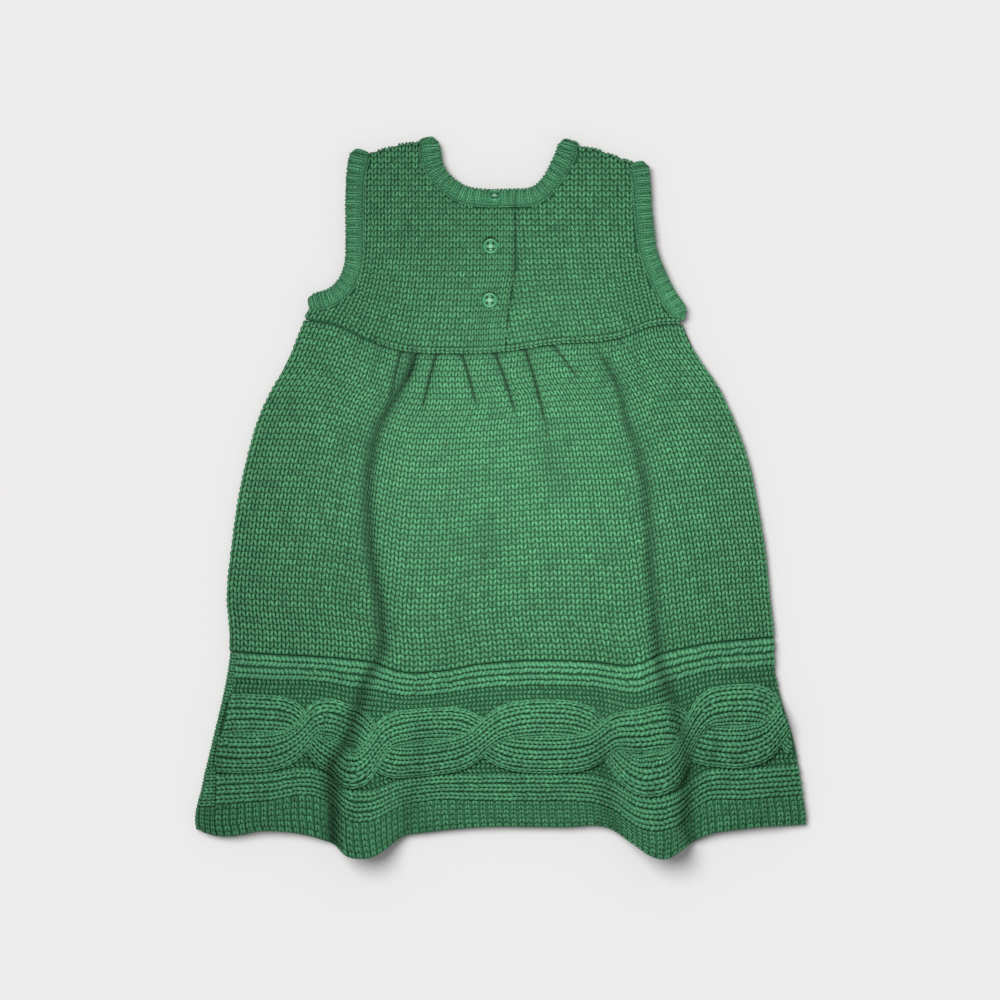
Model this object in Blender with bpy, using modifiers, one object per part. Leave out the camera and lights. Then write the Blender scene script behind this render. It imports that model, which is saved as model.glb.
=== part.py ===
# Sleeveless cable knit dress for a small child, laid flat with its back up.
# +Y runs from hem to shoulders, +X to the right of the back view, +Z up from the table.
# Sizes below are millimetres; meshes are written in metres.

import bmesh
import bpy
import numpy as np

MM = 0.001

# Knit and seams
WALL = 3.0                      # thickness of the plain knit
GAP = 0.3                       # seam gap, and the air between front and back
BACK_BASE = WALL + GAP          # underside of the back panels where they lie on the front
SEAM_DROP = 0.8                 # groove that a sewn edge sinks by
SEAM_REACH = 2.5                # how far into a panel the groove reaches
SIDE_ROUND = 3.0                # rounding of the folded side edges
RIM_LEFT = 0.8                  # thickness left at a rounded edge

# Ribbed bands
BAND_WIDTH = 11.0
RIB_PITCH = 3.6
HEM_RIB_PITCH = 4.4
RIB_RISE = 0.9
HEM_RIB_RISE = 1.2
BAND_SEAM = BAND_WIDTH / 2 + 1.6 * GAP   # from a band's middle to its seam, clear of the chords
FOLD_REACH = BACK_BASE / 2 + WALL / 2 + GAP  # how far a band's fold reaches past its ends
BODICE_PUFF = 1.2               # how far the back bodice stands off the front

# Placket and buttons
PLACKET_WIDTH = 21.0            # overlap left of the slit
PLACKET_RISE = 1.2
BUTTON_DIAMETER = 9.6
BUTTON_HEIGHT = 2.4
BUTTON_RIM = 1.3                # width of the raised rim
BUTTON_DISH = 0.8               # depth of the middle below the rim
BUTTON_HOLE = 1.3               # diameter of a thread hole
BUTTON_HOLE_SPACING = 2.1
BUTTON_SIDES = 20

# Border, as shares of its height down from the skirt
CABLE_MIDDLE = 0.535
CABLE_SWING = 0.13              # how far a strand's middle strays from the cable's middle
STRAND_HALF = 0.135             # half the width of a strand
STRAND_RISE = 3.6
CROSSING_RISE = 1.5             # the upper strand gains this much at a crossing
RAIL_RISE = 1.1
UPPER_RAIL = (0.01, 0.175)
LOWER_RAIL = (0.81, 0.99)

SHARP_ANGLE = 40.0              # edges steeper than this stay crisp, in degrees

YARN_GREEN = (0.055, 0.235, 0.105, 1.0)
BORDER_GREEN = (0.045, 0.195, 0.09, 1.0)
BAND_GREEN = (0.05, 0.215, 0.097, 1.0)
BUTTON_GREEN = (0.04, 0.21, 0.09, 1.0)


def table(columns, *rows):
    # rows of numbers as named columns
    return dict(zip(columns.split(), np.array(rows, dtype=float).T))


def follow(rows, key, column, at):
    # smooth curve through one column of a table, whose key column ascends
    keys = rows[key]
    values = rows[column]
    slopes = np.gradient(values, keys)
    at = np.asarray(at, dtype=float)
    left = np.clip(np.searchsorted(keys, at) - 1, 0, len(keys) - 2)
    step = keys[left + 1] - keys[left]
    t = np.clip((at - keys[left]) / step, 0.0, 1.0)
    start = (1 + 2 * t) * (1 - t) ** 2 * values[left] + t * (1 - t) ** 2 * step * slopes[left]
    end = t * t * (3 - 2 * t) * values[left + 1] - t * t * (1 - t) * step * slopes[left + 1]
    return start + end


def ease(t):
    t = np.clip(t, 0.0, 1.0)
    return t * t * (3 - 2 * t)


# Outline of skirt, border and hem, hem first
SIDES = table(
    "y left right",
    (-212, -190, 190),
    (-203, -191.5, 191),
    (-181, -187, 188),
    (-151, -180, 183),
    (-121, -173, 174),
    (-104, -170, 171),
    (-91, -169, 171),
    (-61, -171, 168),
    (-31, -168, 165),
    (-8, -165, 161),
    (22, -159, 155),
    (52, -150, 144),
    (67, -143, 137),
    (82, -134, 127),
    (97, -128, 117),
    (112, -122, 116.5),
)

# Seams and edges that run across the back, left to right
WAIST = table(
    "x y",
    (-124, 111),
    (-105, 108),
    (-78, 96),
    (-60, 91),
    (-35, 89.5),
    (0, 90.5),
    (32, 95),
    (75, 99.5),
    (96, 107),
    (118, 108),
)
BORDER_TOP = table(
    "x y",
    (-170, -96.5),
    (-149, -98),
    (-100, -101),
    (-78, -104),
    (-63, -109),
    (-38, -109),
    (-16, -105),
    (12, -102.5),
    (56, -103),
    (87, -104),
    (97, -99.5),
    (125, -92.5),
    (171, -87.5),
)
HEM_TOP = table(
    "x y",
    (-191, -194),
    (-148, -191),
    (-113, -189),
    (-104, -194),
    (-95, -202),
    (-82, -203),
    (-63, -194),
    (-44, -190.5),
    (52, -191),
    (70, -196),
    (87, -207),
    (97, -209),
    (110, -205.5),
    (128, -191.5),
    (150, -190),
    (191, -187),
)
HEM_BOTTOM = table(
    "x y",
    (-191, -208),
    (-178, -212),
    (-147, -209),
    (-113, -214),
    (-103, -218),
    (-96, -224),
    (-88, -225.6),
    (-78, -224),
    (-60, -212),
    (-47, -210),
    (-9, -206.5),
    (66, -206),
    (82, -216),
    (94, -224),
    (104, -225.6),
    (112, -221),
    (127, -212.5),
    (150, -208),
    (191, -205),
)

# The front hides under the back, so its seams are plain
FRONT_WAIST = table("x y", (-124, 111), (-60, 100), (0, 96), (60, 99), (118, 108))
FRONT_BORDER_TOP = table("x y", (-171, -97), (0, -98), (171, -88))
FRONT_HEM_TOP = table("x y", (-191, -194), (-60, -190), (60, -190), (191, -187))
FRONT_HEM_BOTTOM = table("x y", (-191, -208), (-178, -212), (-140, -207), (0, -202), (191, -204))

# Width of the front border's edge that wraps over to the back at the left
WRAP = table(
    "y width",
    (-212, 13),
    (-196, 12.3),
    (-181, 9.5),
    (-166, 5.4),
    (-136, 4.8),
    (-94, 4.4),
)

# The two long folds, a row for each section from hem to waist: where the valleys, crests
# and feet lie, and how far each crest and the middle stand off the front
FOLDS = table(
    "y valley_l crest_l foot_l foot_r crest_r valley_r rise_l middle rise_r",
    (-226, -106, -89, -61, 72, 101, 125, 17, 1.0, 18),
    (-211, -106, -88, -60, 71, 100, 118, 17, 1.0, 18),
    (-189, -106, -86, -56, 67, 96, 117, 16.5, 1.5, 17),
    (-166, -105, -81, -50, 62, 92, 117, 15.5, 2.0, 16),
    (-153, -97, -76, -47, 62, 89, 115, 14.5, 2.5, 15),
    (-132, -90, -70, -44, 62, 87, 110, 12, 3.0, 12.5),
    (-114, -84, -65, -41, 65, 87, 103, 9.5, 3.4, 10),
    (-99, -76, -61, -34, 68, 87, 99, 8, 3.6, 8),
    (-79, -75, -60, -32, 66, 85, 97, 6.8, 3.6, 6),
    (-47, -80, -65, -33, 62, 83, 94, 6, 3.6, 5.2),
    (-16, -83, -69, -36, 60, 81, 93, 5.6, 3.6, 5),
    (22, -82, -69, -38, 58, 77, 88, 5.4, 3.6, 4.8),
    (48, -75, -64, -40, 54, 69, 79, 5.2, 3.7, 4.6),
    (73, -65, -57, -43, 44, 57, 66, 4.4, 3.7, 4.0),
    (82, -64, -56, -44, 37, 49, 58, 3.2, 2.9, 3.0),
    (90, -64, -56, -45, 31, 42, 51, 1.2, 1.2, 1.2),
    (100, -64, -56, -46, 25, 35, 45, 0.8, 0.8, 0.8),
)
SIDE_PUFF = 1.6                 # how far the side panels stand off the front
CREST_FLAT = 0.12               # share of a fold's flank that stays level at its crest

# Gathers that fade out below the waist seam, and one soft trough
GATHERS = table(
    "x_top y_top x_end y_end depth half_width",
    (-41, 92, -50, 56, 2.6, 3.6),
    (-23, 92, -17, 60, 2.2, 4.0),
    (-4, 93, 6, 54, 2.8, 4.2),
    (16, 95, 29, 42, 3.0, 4.2),
    (32, 98, 48, 62, 2.4, 3.6),
    (-2, 2, -4, -62, 1.2, 14.0),
)

# Where the cable's strands cross, in half turns of the rope
CROSSINGS = table(
    "x turn",
    (-192, -0.42),
    (-122, 0.5),
    (-78, 1.5),
    (-11, 2.5),
    (65, 3.5),
    (118, 4.5),
    (175, 5.5),
    (192, 5.8),
)

# Middle lines of the bands where they show, from the slit or shoulder on
NECK_BACK_LEFT = table(
    "x y",
    (13.4, 187),
    (-12, 187),
    (-23, 189),
    (-31, 193.5),
    (-38, 200),
    (-43, 207.5),
    (-46, 215),
    (-47.5, 221.5),
)
NECK_BACK_RIGHT = table(
    "x y",
    (43, 220.5),
    (41, 214),
    (37.5, 207),
    (33, 199.5),
    (28, 193),
    (21.5, 188.5),
    (14.7, 187),
)
NECK_FRONT = table(
    "x y",
    (-47.5, 221.5),
    (-44, 207),
    (-38.5, 191),
    (-30, 177),
    (-17, 167.5),
    (-2, 164.5),
    (13, 167.5),
    (26, 177),
    (35, 191),
    (40, 207),
    (43, 220.5),
)
ARM_LEFT = table(
    "x y",
    (-86.5, 214),
    (-90, 203),
    (-91, 186),
    (-91, 160),
    (-91.5, 147),
    (-96, 134),
    (-103.5, 125.5),
    (-112, 120.5),
    (-119, 118),
)
ARM_RIGHT = table(
    "x y",
    (86.5, 208.5),
    (88, 198),
    (88.5, 182),
    (90, 168),
    (92, 154),
    (97, 140.5),
    (103, 129),
    (107, 121.5),
    (111.5, 116.5),
)
SLIT = table(
    "x y",
    (3, 90.5),
    (3.4, 106),
    (5.3, 120),
    (9, 142),
    (9, 160),
    (9, 181),
)

# The first button sits on the neck band and leans towards the shoulders, in degrees
BUTTONS = table(
    "x y tilt",
    (-3.7, 188.0, 22),
    (-6.2, 156.9, 0),
    (-6.8, 123.1, 0),
)


def side(y, name):
    return follow(SIDES, "y", name, y)


def fold_height(x, y):
    # eased steps between the stations of the section at y
    stations = {name: follow(FOLDS, "y", name, y) for name in FOLDS if name != "y"}
    puff = SIDE_PUFF * ease((112 - y) / 30)
    left = side(y, "left")
    right = side(y, "right")
    knots = (
        (left, 0.0),
        (left + 0.35 * (stations["valley_l"] - left), puff),
        (stations["valley_l"], 0.0),
        (stations["crest_l"], stations["rise_l"]),
        (stations["foot_l"], stations["middle"]),
        (stations["foot_r"], stations["middle"]),
        (stations["crest_r"], stations["rise_r"]),
        (stations["valley_r"], 0.0),
        (right - 0.4 * (right - stations["valley_r"]), puff),
        (right, 0.0),
    )
    height = np.zeros_like(x)
    for (x0, z0), (x1, z1) in zip(knots[:-1], knots[1:]):
        share = (x - x0) / (x1 - x0)
        flat = np.where(np.abs(z1 - z0) > 3.0, CREST_FLAT, 0.0)
        step = z0 + (z1 - z0) * ease((share - flat * (z0 > z1)) / (1 - flat))
        height = np.where((share >= 0) & (share <= 1), step, height)
    return height


def gather_depth(x, y):
    depth = np.zeros_like(x)
    for x0, y0, x1, y1, deep, half in zip(*GATHERS.values()):
        share = (y0 - y) / (y0 - y1)
        middle = x0 + (x1 - x0) * np.clip(share, 0, 1)
        fade = np.where(share < 0, ease(1 + share * 3), ease(1 - share))
        depth += deep * fade * np.exp(-((x - middle) / half) ** 2)
    return depth


def skirt_lift(x, y):
    return np.maximum(fold_height(x, y) - gather_depth(x, y), 0.0)


def slope_factor(lift, x, y):
    # how much more a sloping wall measures straight up than through its thickness
    step = 0.5
    across = (lift(x + step, y) - lift(x - step, y)) / (2 * step)
    along = (lift(x, y + step) - lift(x, y - step)) / (2 * step)
    return np.minimum(np.sqrt(1 + across ** 2 + along ** 2), 1.7)


def rounded(thickness, distance):
    # a wall's thickness where a folded edge rounds it off
    inside = 1 - np.clip(distance / SIDE_ROUND, 0, 1)
    return np.maximum(thickness * np.sqrt(1 - inside ** 2), RIM_LEFT)


def seam_groove(distance):
    return SEAM_DROP * ease(1 - distance / SEAM_REACH)


def rail(share, limits):
    low, high = limits
    t = np.clip((share - low) / (high - low), 0, 1)
    return RAIL_RISE * np.sqrt(np.maximum(1 - (2 * t - 1) ** 4, 0)) * (share > low) * (share < high)


def cable_rise(x, share):
    # two strands swap sides at each crossing; the one that climbs to the right lies on top
    angle = np.pi * follow(CROSSINGS, "x", "turn", x)
    swing = CABLE_SWING * np.tanh(1.5 * np.cos(angle)) / np.tanh(1.5)
    rise = np.zeros_like(x)
    for sign in (1, -1):
        offset = (share - CABLE_MIDDLE + sign * swing) / STRAND_HALF
        top = STRAND_RISE - sign * CROSSING_RISE * np.sin(angle)
        rise = np.maximum(rise, top * np.sqrt(np.maximum(1 - offset ** 2, 0)))
    return rise


def border_relief(x, share):
    return rail(share, UPPER_RAIL) + rail(share, LOWER_RAIL) + cable_rise(x, share)


def material(name, colour, roughness):
    made = bpy.data.materials.new(name)
    made.use_nodes = True
    shader = made.node_tree.nodes["Principled BSDF"]
    shader.inputs["Base Color"].default_value = colour
    shader.inputs["Roughness"].default_value = roughness
    shader.inputs["Metallic"].default_value = 0.0
    return made


def add_mesh(name, points, faces, colour, roughness=0.95):
    mesh = bpy.data.meshes.new(name)
    mesh.from_pydata((np.asarray(points) * MM).tolist(), [], faces)
    bm = bmesh.new()
    bm.from_mesh(mesh)
    bmesh.ops.recalc_face_normals(bm, faces=bm.faces[:])
    bmesh.ops.triangulate(bm, faces=bm.faces[:])
    bm.to_mesh(mesh)
    bm.free()
    mesh.shade_smooth()
    mesh.set_sharp_from_angle(angle=np.radians(SHARP_ANGLE))
    mesh.materials.append(material(name + "_knit", colour, roughness))
    made = bpy.data.objects.new(name, mesh)
    dress.objects.link(made)
    return made


def strip(first, second):
    # triangles between two rows of point numbers that run the same way
    faces = []
    i = 0
    j = 0
    while i < len(first) - 1 or j < len(second) - 1:
        next_first = (i + 1) / (len(first) - 1)
        next_second = (j + 1) / (len(second) - 1)
        if j == len(second) - 1 or (i < len(first) - 1 and next_first <= next_second):
            faces.append((first[i], first[i + 1], second[j]))
            i += 1
        else:
            faces.append((first[i], second[j + 1], second[j]))
            j += 1
    return faces


def grid_numbers(grid, start):
    rows, columns = grid.shape[:2]
    return start + np.arange(rows * columns).reshape(rows, columns)


def number_rows(rows, start):
    # point numbers for rows of points that may differ in length
    ends = start + np.cumsum([len(row) for row in rows])
    return [list(range(end - len(row), end)) for row, end in zip(rows, ends)]


def wall(name, outer, inner, colour):
    # a closed wall between two sheets, each a list of rows of points
    top = number_rows(outer, 0)
    bottom = number_rows(inner, top[-1][-1] + 1)
    faces = []
    for numbers in (top, bottom):
        for upper, lower in zip(numbers[:-1], numbers[1:]):
            faces += strip(upper, lower)
    faces += strip(top[0], bottom[0]) + strip(top[-1], bottom[-1])
    for end in (0, -1):
        faces += strip([row[end] for row in top], [row[end] for row in bottom])
    return add_mesh(name, np.concatenate([*outer, *inner]), faces, colour)


def spread(*spans):
    # values along joined spans (start, end, steps), each joint once
    parts = [np.linspace(start, end, steps, endpoint=False) for start, end, steps in spans]
    return np.append(np.concatenate(parts), spans[-1][1])


def stations_across(y, counts, left_edge, right_edge):
    # columns that follow the folds: closer at the sides, then so many in each stretch
    left = left_edge(y)
    right = right_edge(y)
    bounds = [left, left + SIDE_ROUND]
    for name in ("valley_l", "crest_l", "foot_l", "foot_r", "crest_r", "valley_r"):
        bounds.append(follow(FOLDS, "y", name, y))
    bounds += [right - SIDE_ROUND, right]
    columns = [left]
    for low, high, count in zip(bounds[:-1], bounds[1:], counts):
        columns += [low + (high - low) * (step + 1) / count for step in range(count)]
    return np.stack(columns, axis=-1)


def left_outline(y):
    return side(y, "left")


def right_outline(y):
    return side(y, "right")


def wrapped_left(y):
    return side(y, "left") + follow(WRAP, "y", "width", y) + 2 * GAP


def back_grid(top, bottom, shares, counts, left_edge, inset=(GAP / 2, GAP / 2)):
    # plan points between two cross seams; x moves with y, so two passes settle it
    guess = np.linspace(np.mean(top["y"]), np.mean(bottom["y"]), len(shares))
    x = stations_across(guess, counts, left_edge, right_outline)
    for _ in range(6):
        high = follow(top, "x", "y", x) - inset[0]
        low = follow(bottom, "x", "y", x) + inset[1]
        y = high + (low - high) * np.asarray(shares)[:, None]
        rows = [stations_across(row, counts, left_edge, right_outline) for row in y.T]
        x = np.stack([row[:, column] for column, row in enumerate(rows)], axis=-1)
    return x, y


def lifted(x, y, thickness):
    # outer and inner points of a back panel
    lift = skirt_lift(x, y)
    inner = np.stack([x, y, BACK_BASE + lift], axis=-1)
    outer = np.stack([x, y, BACK_BASE + lift + thickness], axis=-1)
    return outer, inner


def plain_inside(x, y, plain_x, plain_y):
    # a sparse inner sheet whose first and last rows match the outer sheet's seams
    _, sparse = lifted(plain_x, plain_y, 0.0)
    _, seams = lifted(x[[0, -1]], y[[0, -1]], 0.0)
    return [seams[0], *sparse[1:-1], seams[1]]


def back_thickness(x, y, round_left, relief):
    thickness = WALL * slope_factor(skirt_lift, x, y) + relief
    thickness = rounded(thickness, side(y, "right") - x)
    if round_left:
        thickness = rounded(thickness, x - side(y, "left"))
    return thickness


def make_skirt_back():
    counts = (2, 8, 4, 4, 16, 4, 4, 8, 2)
    shares = spread((0, 0.03, 2), (0.03, 0.3, 5), (0.3, 0.97, 8), (0.97, 1, 1))
    x, y = back_grid(WAIST, BORDER_TOP, shares, counts, left_outline)
    groove = seam_groove(follow(WAIST, "x", "y", x) - y) + seam_groove(y - follow(BORDER_TOP, "x", "y", x))
    outer, inner = lifted(x, y, back_thickness(x, y, True, -groove))
    wall("skirt_back", outer, inner, YARN_GREEN)


def half_rows(rows, right):
    # each row's points on one side of the middle between the folds, half a gap back from it
    halves = []
    for row in rows:
        feet = [follow(FOLDS, "y", name, row[:, 1]) for name in ("foot_l", "foot_r")]
        split = int(np.argmin(np.abs(row[:, 0] - sum(feet) / 2)))
        half = (row[split:] if right else row[:split + 1]).copy()
        half[0 if right else -1, 0] += GAP / 2 if right else -GAP / 2
        halves.append(half)
    return halves


def make_border_back():
    # two solids that meet in the middle, each small enough for close collision hulls
    counts = (1, 16, 5, 6, 26, 6, 5, 14, 2)
    shares = spread((0, 0.03, 1), (0.03, 0.17, 2), (0.17, 0.27, 2), (0.27, 0.81, 9), (0.81, 0.97, 2), (0.97, 1, 1))
    x, y = back_grid(BORDER_TOP, HEM_TOP, shares, counts, wrapped_left)
    relief = border_relief(x, shares[:, None] * np.ones_like(x))
    outer, _ = lifted(x, y, back_thickness(x, y, False, relief))
    plain_counts = (1, 5, 3, 3, 6, 3, 3, 5, 1)
    plain_x, plain_y = back_grid(BORDER_TOP, HEM_TOP, spread((0, 1, 8)), plain_counts, wrapped_left)
    inner = plain_inside(x, y, plain_x, plain_y)
    wall("border_back_left", half_rows(outer, False), half_rows(inner, False), BORDER_GREEN)
    wall("border_back_right", half_rows(outer, True), half_rows(inner, True), BORDER_GREEN)


def hem_plan(columns, shares, left_edge):
    # evenly spaced columns, so that each rib keeps its pitch
    across = np.linspace(0, 1, columns)
    x = np.broadcast_to(-190 + 380 * across, (len(shares), columns))
    for _ in range(4):
        high = follow(HEM_TOP, "x", "y", x) - GAP / 2
        low = follow(HEM_BOTTOM, "x", "y", x)
        y = high + (low - high) * shares[:, None]
        x = left_edge(y) + (right_outline(y) - left_edge(y)) * across
    return x, y


def make_hem_rib_back():
    ribs = round((SIDES["right"][0] - SIDES["left"][0]) / HEM_RIB_PITCH)
    columns = 2 * ribs + 1
    shares = np.array([0.0, 0.12, 0.9, 1.0])
    x, y = hem_plan(columns, shares, wrapped_left)
    fade = np.array([0.0, 1.0, 1.0, -0.6])[:, None]
    relief = fade * HEM_RIB_RISE * (np.arange(columns) % 2)
    outer, _ = lifted(x, y, back_thickness(x, y, False, relief))
    plain_x, plain_y = hem_plan(ribs // 2 + 1, np.array([0.0, 0.5, 1.0]), wrapped_left)
    wall("hem_rib_back", outer, plain_inside(x, y, plain_x, plain_y), BORDER_GREEN)


def front_plan(top, bottom, across, shares, inset):
    x = np.broadcast_to(-150 + 300 * across, (len(shares), len(across)))
    for _ in range(4):
        high = follow(top, "x", "y", x) - GAP / 2
        low = follow(bottom, "x", "y", x) + inset
        y = high + (low - high) * shares[:, None]
        x = left_outline(y) + (right_outline(y) - left_outline(y)) * across
    return x, y


def make_skirt_front():
    across = spread((0, 0.01, 2), (0.01, 0.99, 14), (0.99, 1, 2))
    x, y = front_plan(FRONT_WAIST, FRONT_BORDER_TOP, across, spread((0, 1, 9)), GAP / 2)
    distance = np.minimum(x - side(y, "left"), side(y, "right") - x)
    outer = np.stack([x, y, WALL - rounded(WALL, distance)], axis=-1)
    inner = np.stack([x, y, np.full_like(x, WALL)], axis=-1)
    wall("skirt_front", inner, outer, YARN_GREEN)


def wrapped_section(y_row, x_row):
    # one section of the front: along the floor from the right, round the left edge and over
    bend = BACK_BASE / 2
    left = side(y_row[0], "left")
    start = left + bend + WALL / 2
    floor_x = x_row[::-1]
    y_floor = y_row[::-1]
    angles = np.linspace(0, np.pi, 7)[1:]
    arc_x = start - bend * np.sin(angles)
    arc_z = WALL / 2 + bend * (1 - np.cos(angles))
    end = left + follow(WRAP, "y", "width", y_row[0])
    middle = np.concatenate([
        np.stack([floor_x, y_floor, np.full_like(floor_x, WALL / 2)], axis=-1),
        np.stack([arc_x, np.full_like(arc_x, y_row[0]), arc_z], axis=-1),
        [[end, y_row[0], WALL / 2 + 2 * bend]],
    ])
    outward = np.concatenate([
        np.tile([0.0, 0.0, -1.0], (len(floor_x), 1)),
        np.stack([-np.sin(angles), np.zeros_like(angles), -np.cos(angles)], axis=-1),
        [[0.0, 0.0, 1.0]],
    ])
    return middle + outward * WALL / 2, middle - outward * WALL / 2


def make_wrapped_front(name, top, bottom, inset, row_count):
    across = spread((0, 0.99, 12), (0.99, 1, 2))
    shares = spread((0, 1, row_count))
    x, y = front_plan(top, bottom, across, shares, inset)
    bend = BACK_BASE / 2
    x = np.maximum(x, (side(y, "left") + bend + WALL / 2))
    sections = [wrapped_section(y_row, x_row) for y_row, x_row in zip(y, x)]
    outer = np.stack([section[0] for section in sections])
    inner = np.stack([section[1] for section in sections])
    edge = side(outer[..., 1], "right") - outer[..., 0]
    outer[..., 2] = np.where(outer[..., 2] < 0.01, WALL - rounded(WALL, edge), outer[..., 2])
    wall(name, outer, inner, BORDER_GREEN)


def smooth_path(route, count):
    # evenly spaced points on a smooth curve through the given ones
    points = np.stack([route["x"], route["y"]], axis=-1)
    length = np.append(0, np.cumsum(np.linalg.norm(np.diff(points, axis=0), axis=1)))
    rows = {"s": length, "x": points[:, 0], "y": points[:, 1]}
    fine = np.linspace(0, length[-1], 400)
    curve = np.stack([follow(rows, "s", "x", fine), follow(rows, "s", "y", fine)], axis=-1)
    run = np.append(0, np.cumsum(np.linalg.norm(np.diff(curve, axis=0), axis=1)))
    at = np.linspace(0, run[-1], count)
    return np.stack([np.interp(at, run, curve[:, 0]), np.interp(at, run, curve[:, 1])], axis=-1)


def path_length(route):
    fine = smooth_path(route, 200)
    return float(np.sum(np.linalg.norm(np.diff(fine, axis=0), axis=1)))


def plan_directions(points):
    steps = np.gradient(points, axis=0)
    return steps / np.linalg.norm(steps, axis=1)[:, None]


def band_leg(path, level, ribbed):
    # rings along one layer of a band: middle, width direction, outward direction, rib height
    count = len(path)
    heading = plan_directions(path)
    turn = 1.0 if level > 0 else -1.0
    width = np.stack([-heading[:, 1] * turn, heading[:, 0] * turn, np.zeros(count)], axis=-1)
    z = WALL / 2 + (BACK_BASE if level > 0 else 0.0)
    middle = np.column_stack([path, np.full(count, z)])
    outward = np.tile([0.0, 0.0, turn], (count, 1))
    ribs = RIB_RISE * (np.arange(count) % 2) * ribbed
    return middle, width, outward, ribs


def band_fold(point, heading, width, downwards, steps=5):
    # rings that turn a band over the edge, from one layer to the other
    bend = BACK_BASE / 2
    angles = np.linspace(0, np.pi, steps + 2)[1:-1]
    turn = 1.0 if downwards else -1.0
    flat = np.sin(angles)[:, None] * np.append(heading, 0.0)
    rise = (turn * np.cos(angles))[:, None] * np.array([0.0, 0.0, 1.0])
    centre = np.append(point, WALL / 2 + bend)
    return centre + bend * (flat + rise), np.tile(width, (steps, 1)), flat + rise, np.zeros(steps)


def band_rings(legs):
    middle, width, outward, ribs = [np.concatenate(part) for part in zip(*legs)]
    half = BAND_WIDTH / 2
    skin = WALL / 2
    section = (
        (-half, -skin, 0.0),
        (-half, 0.5 * skin, 0.0),
        (-0.82 * half, skin, 1.0),
        (0.82 * half, skin, 1.0),
        (half, 0.5 * skin, 0.0),
        (half, -skin, 0.0),
    )
    rings = [
        middle + across * width + (out + share * ribs)[:, None] * outward
        for across, out, share in section
    ]
    return np.stack(rings, axis=1)


def add_band(name, rings, closed):
    count, around = rings.shape[:2]
    numbers = grid_numbers(rings, 0)
    following = np.roll(numbers, -1, axis=0)
    if not closed:
        numbers = numbers[:-1]
        following = following[:-1]
    corners = (numbers, np.roll(numbers, -1, axis=1), np.roll(following, -1, axis=1), following)
    faces = np.stack(corners, axis=-1).reshape(-1, 4).tolist()
    if not closed:
        faces.append(list(range(around)))
        faces.append(list(range((count - 1) * around, count * around)))
    return add_mesh(name, rings.reshape(-1, 3), faces, BAND_GREEN)


def rib_path(route):
    # a crest or a trough at each point
    return smooth_path(route, 2 * round(path_length(route) / RIB_PITCH) + 1)


def make_neck_band():
    # from the slit round the left shoulder, under, across the front and back over the right one
    left = rib_path(NECK_BACK_LEFT)
    front = smooth_path(NECK_FRONT, 31)
    right = rib_path(NECK_BACK_RIGHT)
    left_leg = band_leg(left, 1, True)
    front_leg = band_leg(front, 0, False)
    legs = [
        left_leg,
        band_fold(left[-1], plan_directions(left)[-1], left_leg[1][-1], True),
        front_leg,
        band_fold(front[-1], plan_directions(front)[-1], front_leg[1][-1], False),
        band_leg(right, 1, True),
    ]
    add_band("neck_band", band_rings(legs), False)


def make_arm_band(name, route, inward):
    # runs down the back layer from the shoulder, turns under and comes back below
    path = rib_path(route)
    heading = plan_directions(path)
    top = band_leg(path, 1, True)
    under = band_leg(smooth_path(route, 14)[::-1], 0, False)
    top[1][:] *= inward
    under[1][:] *= inward
    legs = [
        top,
        band_fold(path[-1], heading[-1], top[1][-1], True),
        under,
        band_fold(path[0], -heading[0], top[1][0], False),
    ]
    add_band(name, band_rings(legs), True)


def patch(bottom, top, left, right):
    # points between four edge curves, which meet at the corners (a Coons patch)
    u = np.linspace(0, 1, len(bottom))[None, :, None]
    v = np.linspace(0, 1, len(left))[:, None, None]
    across = (1 - v) * bottom[None] + v * top[None]
    along = (1 - u) * left[:, None] + u * right[:, None]
    corners = (1 - v) * ((1 - u) * bottom[0] + u * bottom[-1]) + v * ((1 - u) * top[0] + u * top[-1])
    return across + along - corners


def seam_beside(route, distance, extend=0.0):
    # the line along a band's seam, with its ends carried on past the band's folds
    path = smooth_path(route, 80)
    heading = plan_directions(path)
    ends = [path[:1] - extend * heading[:1], path, path[-1:] + extend * heading[-1:]]
    normal = np.stack([-heading[:, 1], heading[:, 0]], axis=-1)
    normal = np.concatenate([normal[:1], normal, normal[-1:]])
    return np.concatenate(ends) + distance * normal


def even(points, count):
    # the same line with evenly spaced points
    run = np.append(0, np.cumsum(np.linalg.norm(np.diff(points, axis=0), axis=1)))
    at = np.linspace(0, run[-1], count)
    return np.stack([np.interp(at, run, points[:, 0]), np.interp(at, run, points[:, 1])], axis=-1)


def waist_edge(seam, x0, x1, count):
    x = np.linspace(x0, x1, count)
    return np.stack([x, follow(seam, "x", "y", x) + GAP / 2], axis=-1)


def shoulder_and_neck(shoulder_end, neck_seam, count, share):
    # the top edge: a straight shoulder for a share of the points, then the neck seam
    split = round(share * (count - 1))
    straight = np.linspace(shoulder_end, neck_seam[0], split + 1)
    return np.concatenate([straight[:-1], even(neck_seam, count - split)])


def bodice_wall(name, plan, base, puff, groove, relief=0.0):
    # a panel over a plan grid, thinner by the groove at its sewn edges
    rows, columns = plan.shape[:2]
    u = np.linspace(0, 1, columns)[None, :]
    v = np.linspace(0, 1, rows)[:, None]
    lift = puff * 16 * u * (1 - u) * v * (1 - v)
    sewn = np.ones((rows, columns))
    sewn[1:-1, 1:-1] = 0.0
    inner = np.dstack([plan, base + lift])
    outer = np.dstack([plan, base + lift + WALL - groove * sewn + relief])
    return wall(name, outer, inner, YARN_GREEN)


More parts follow.
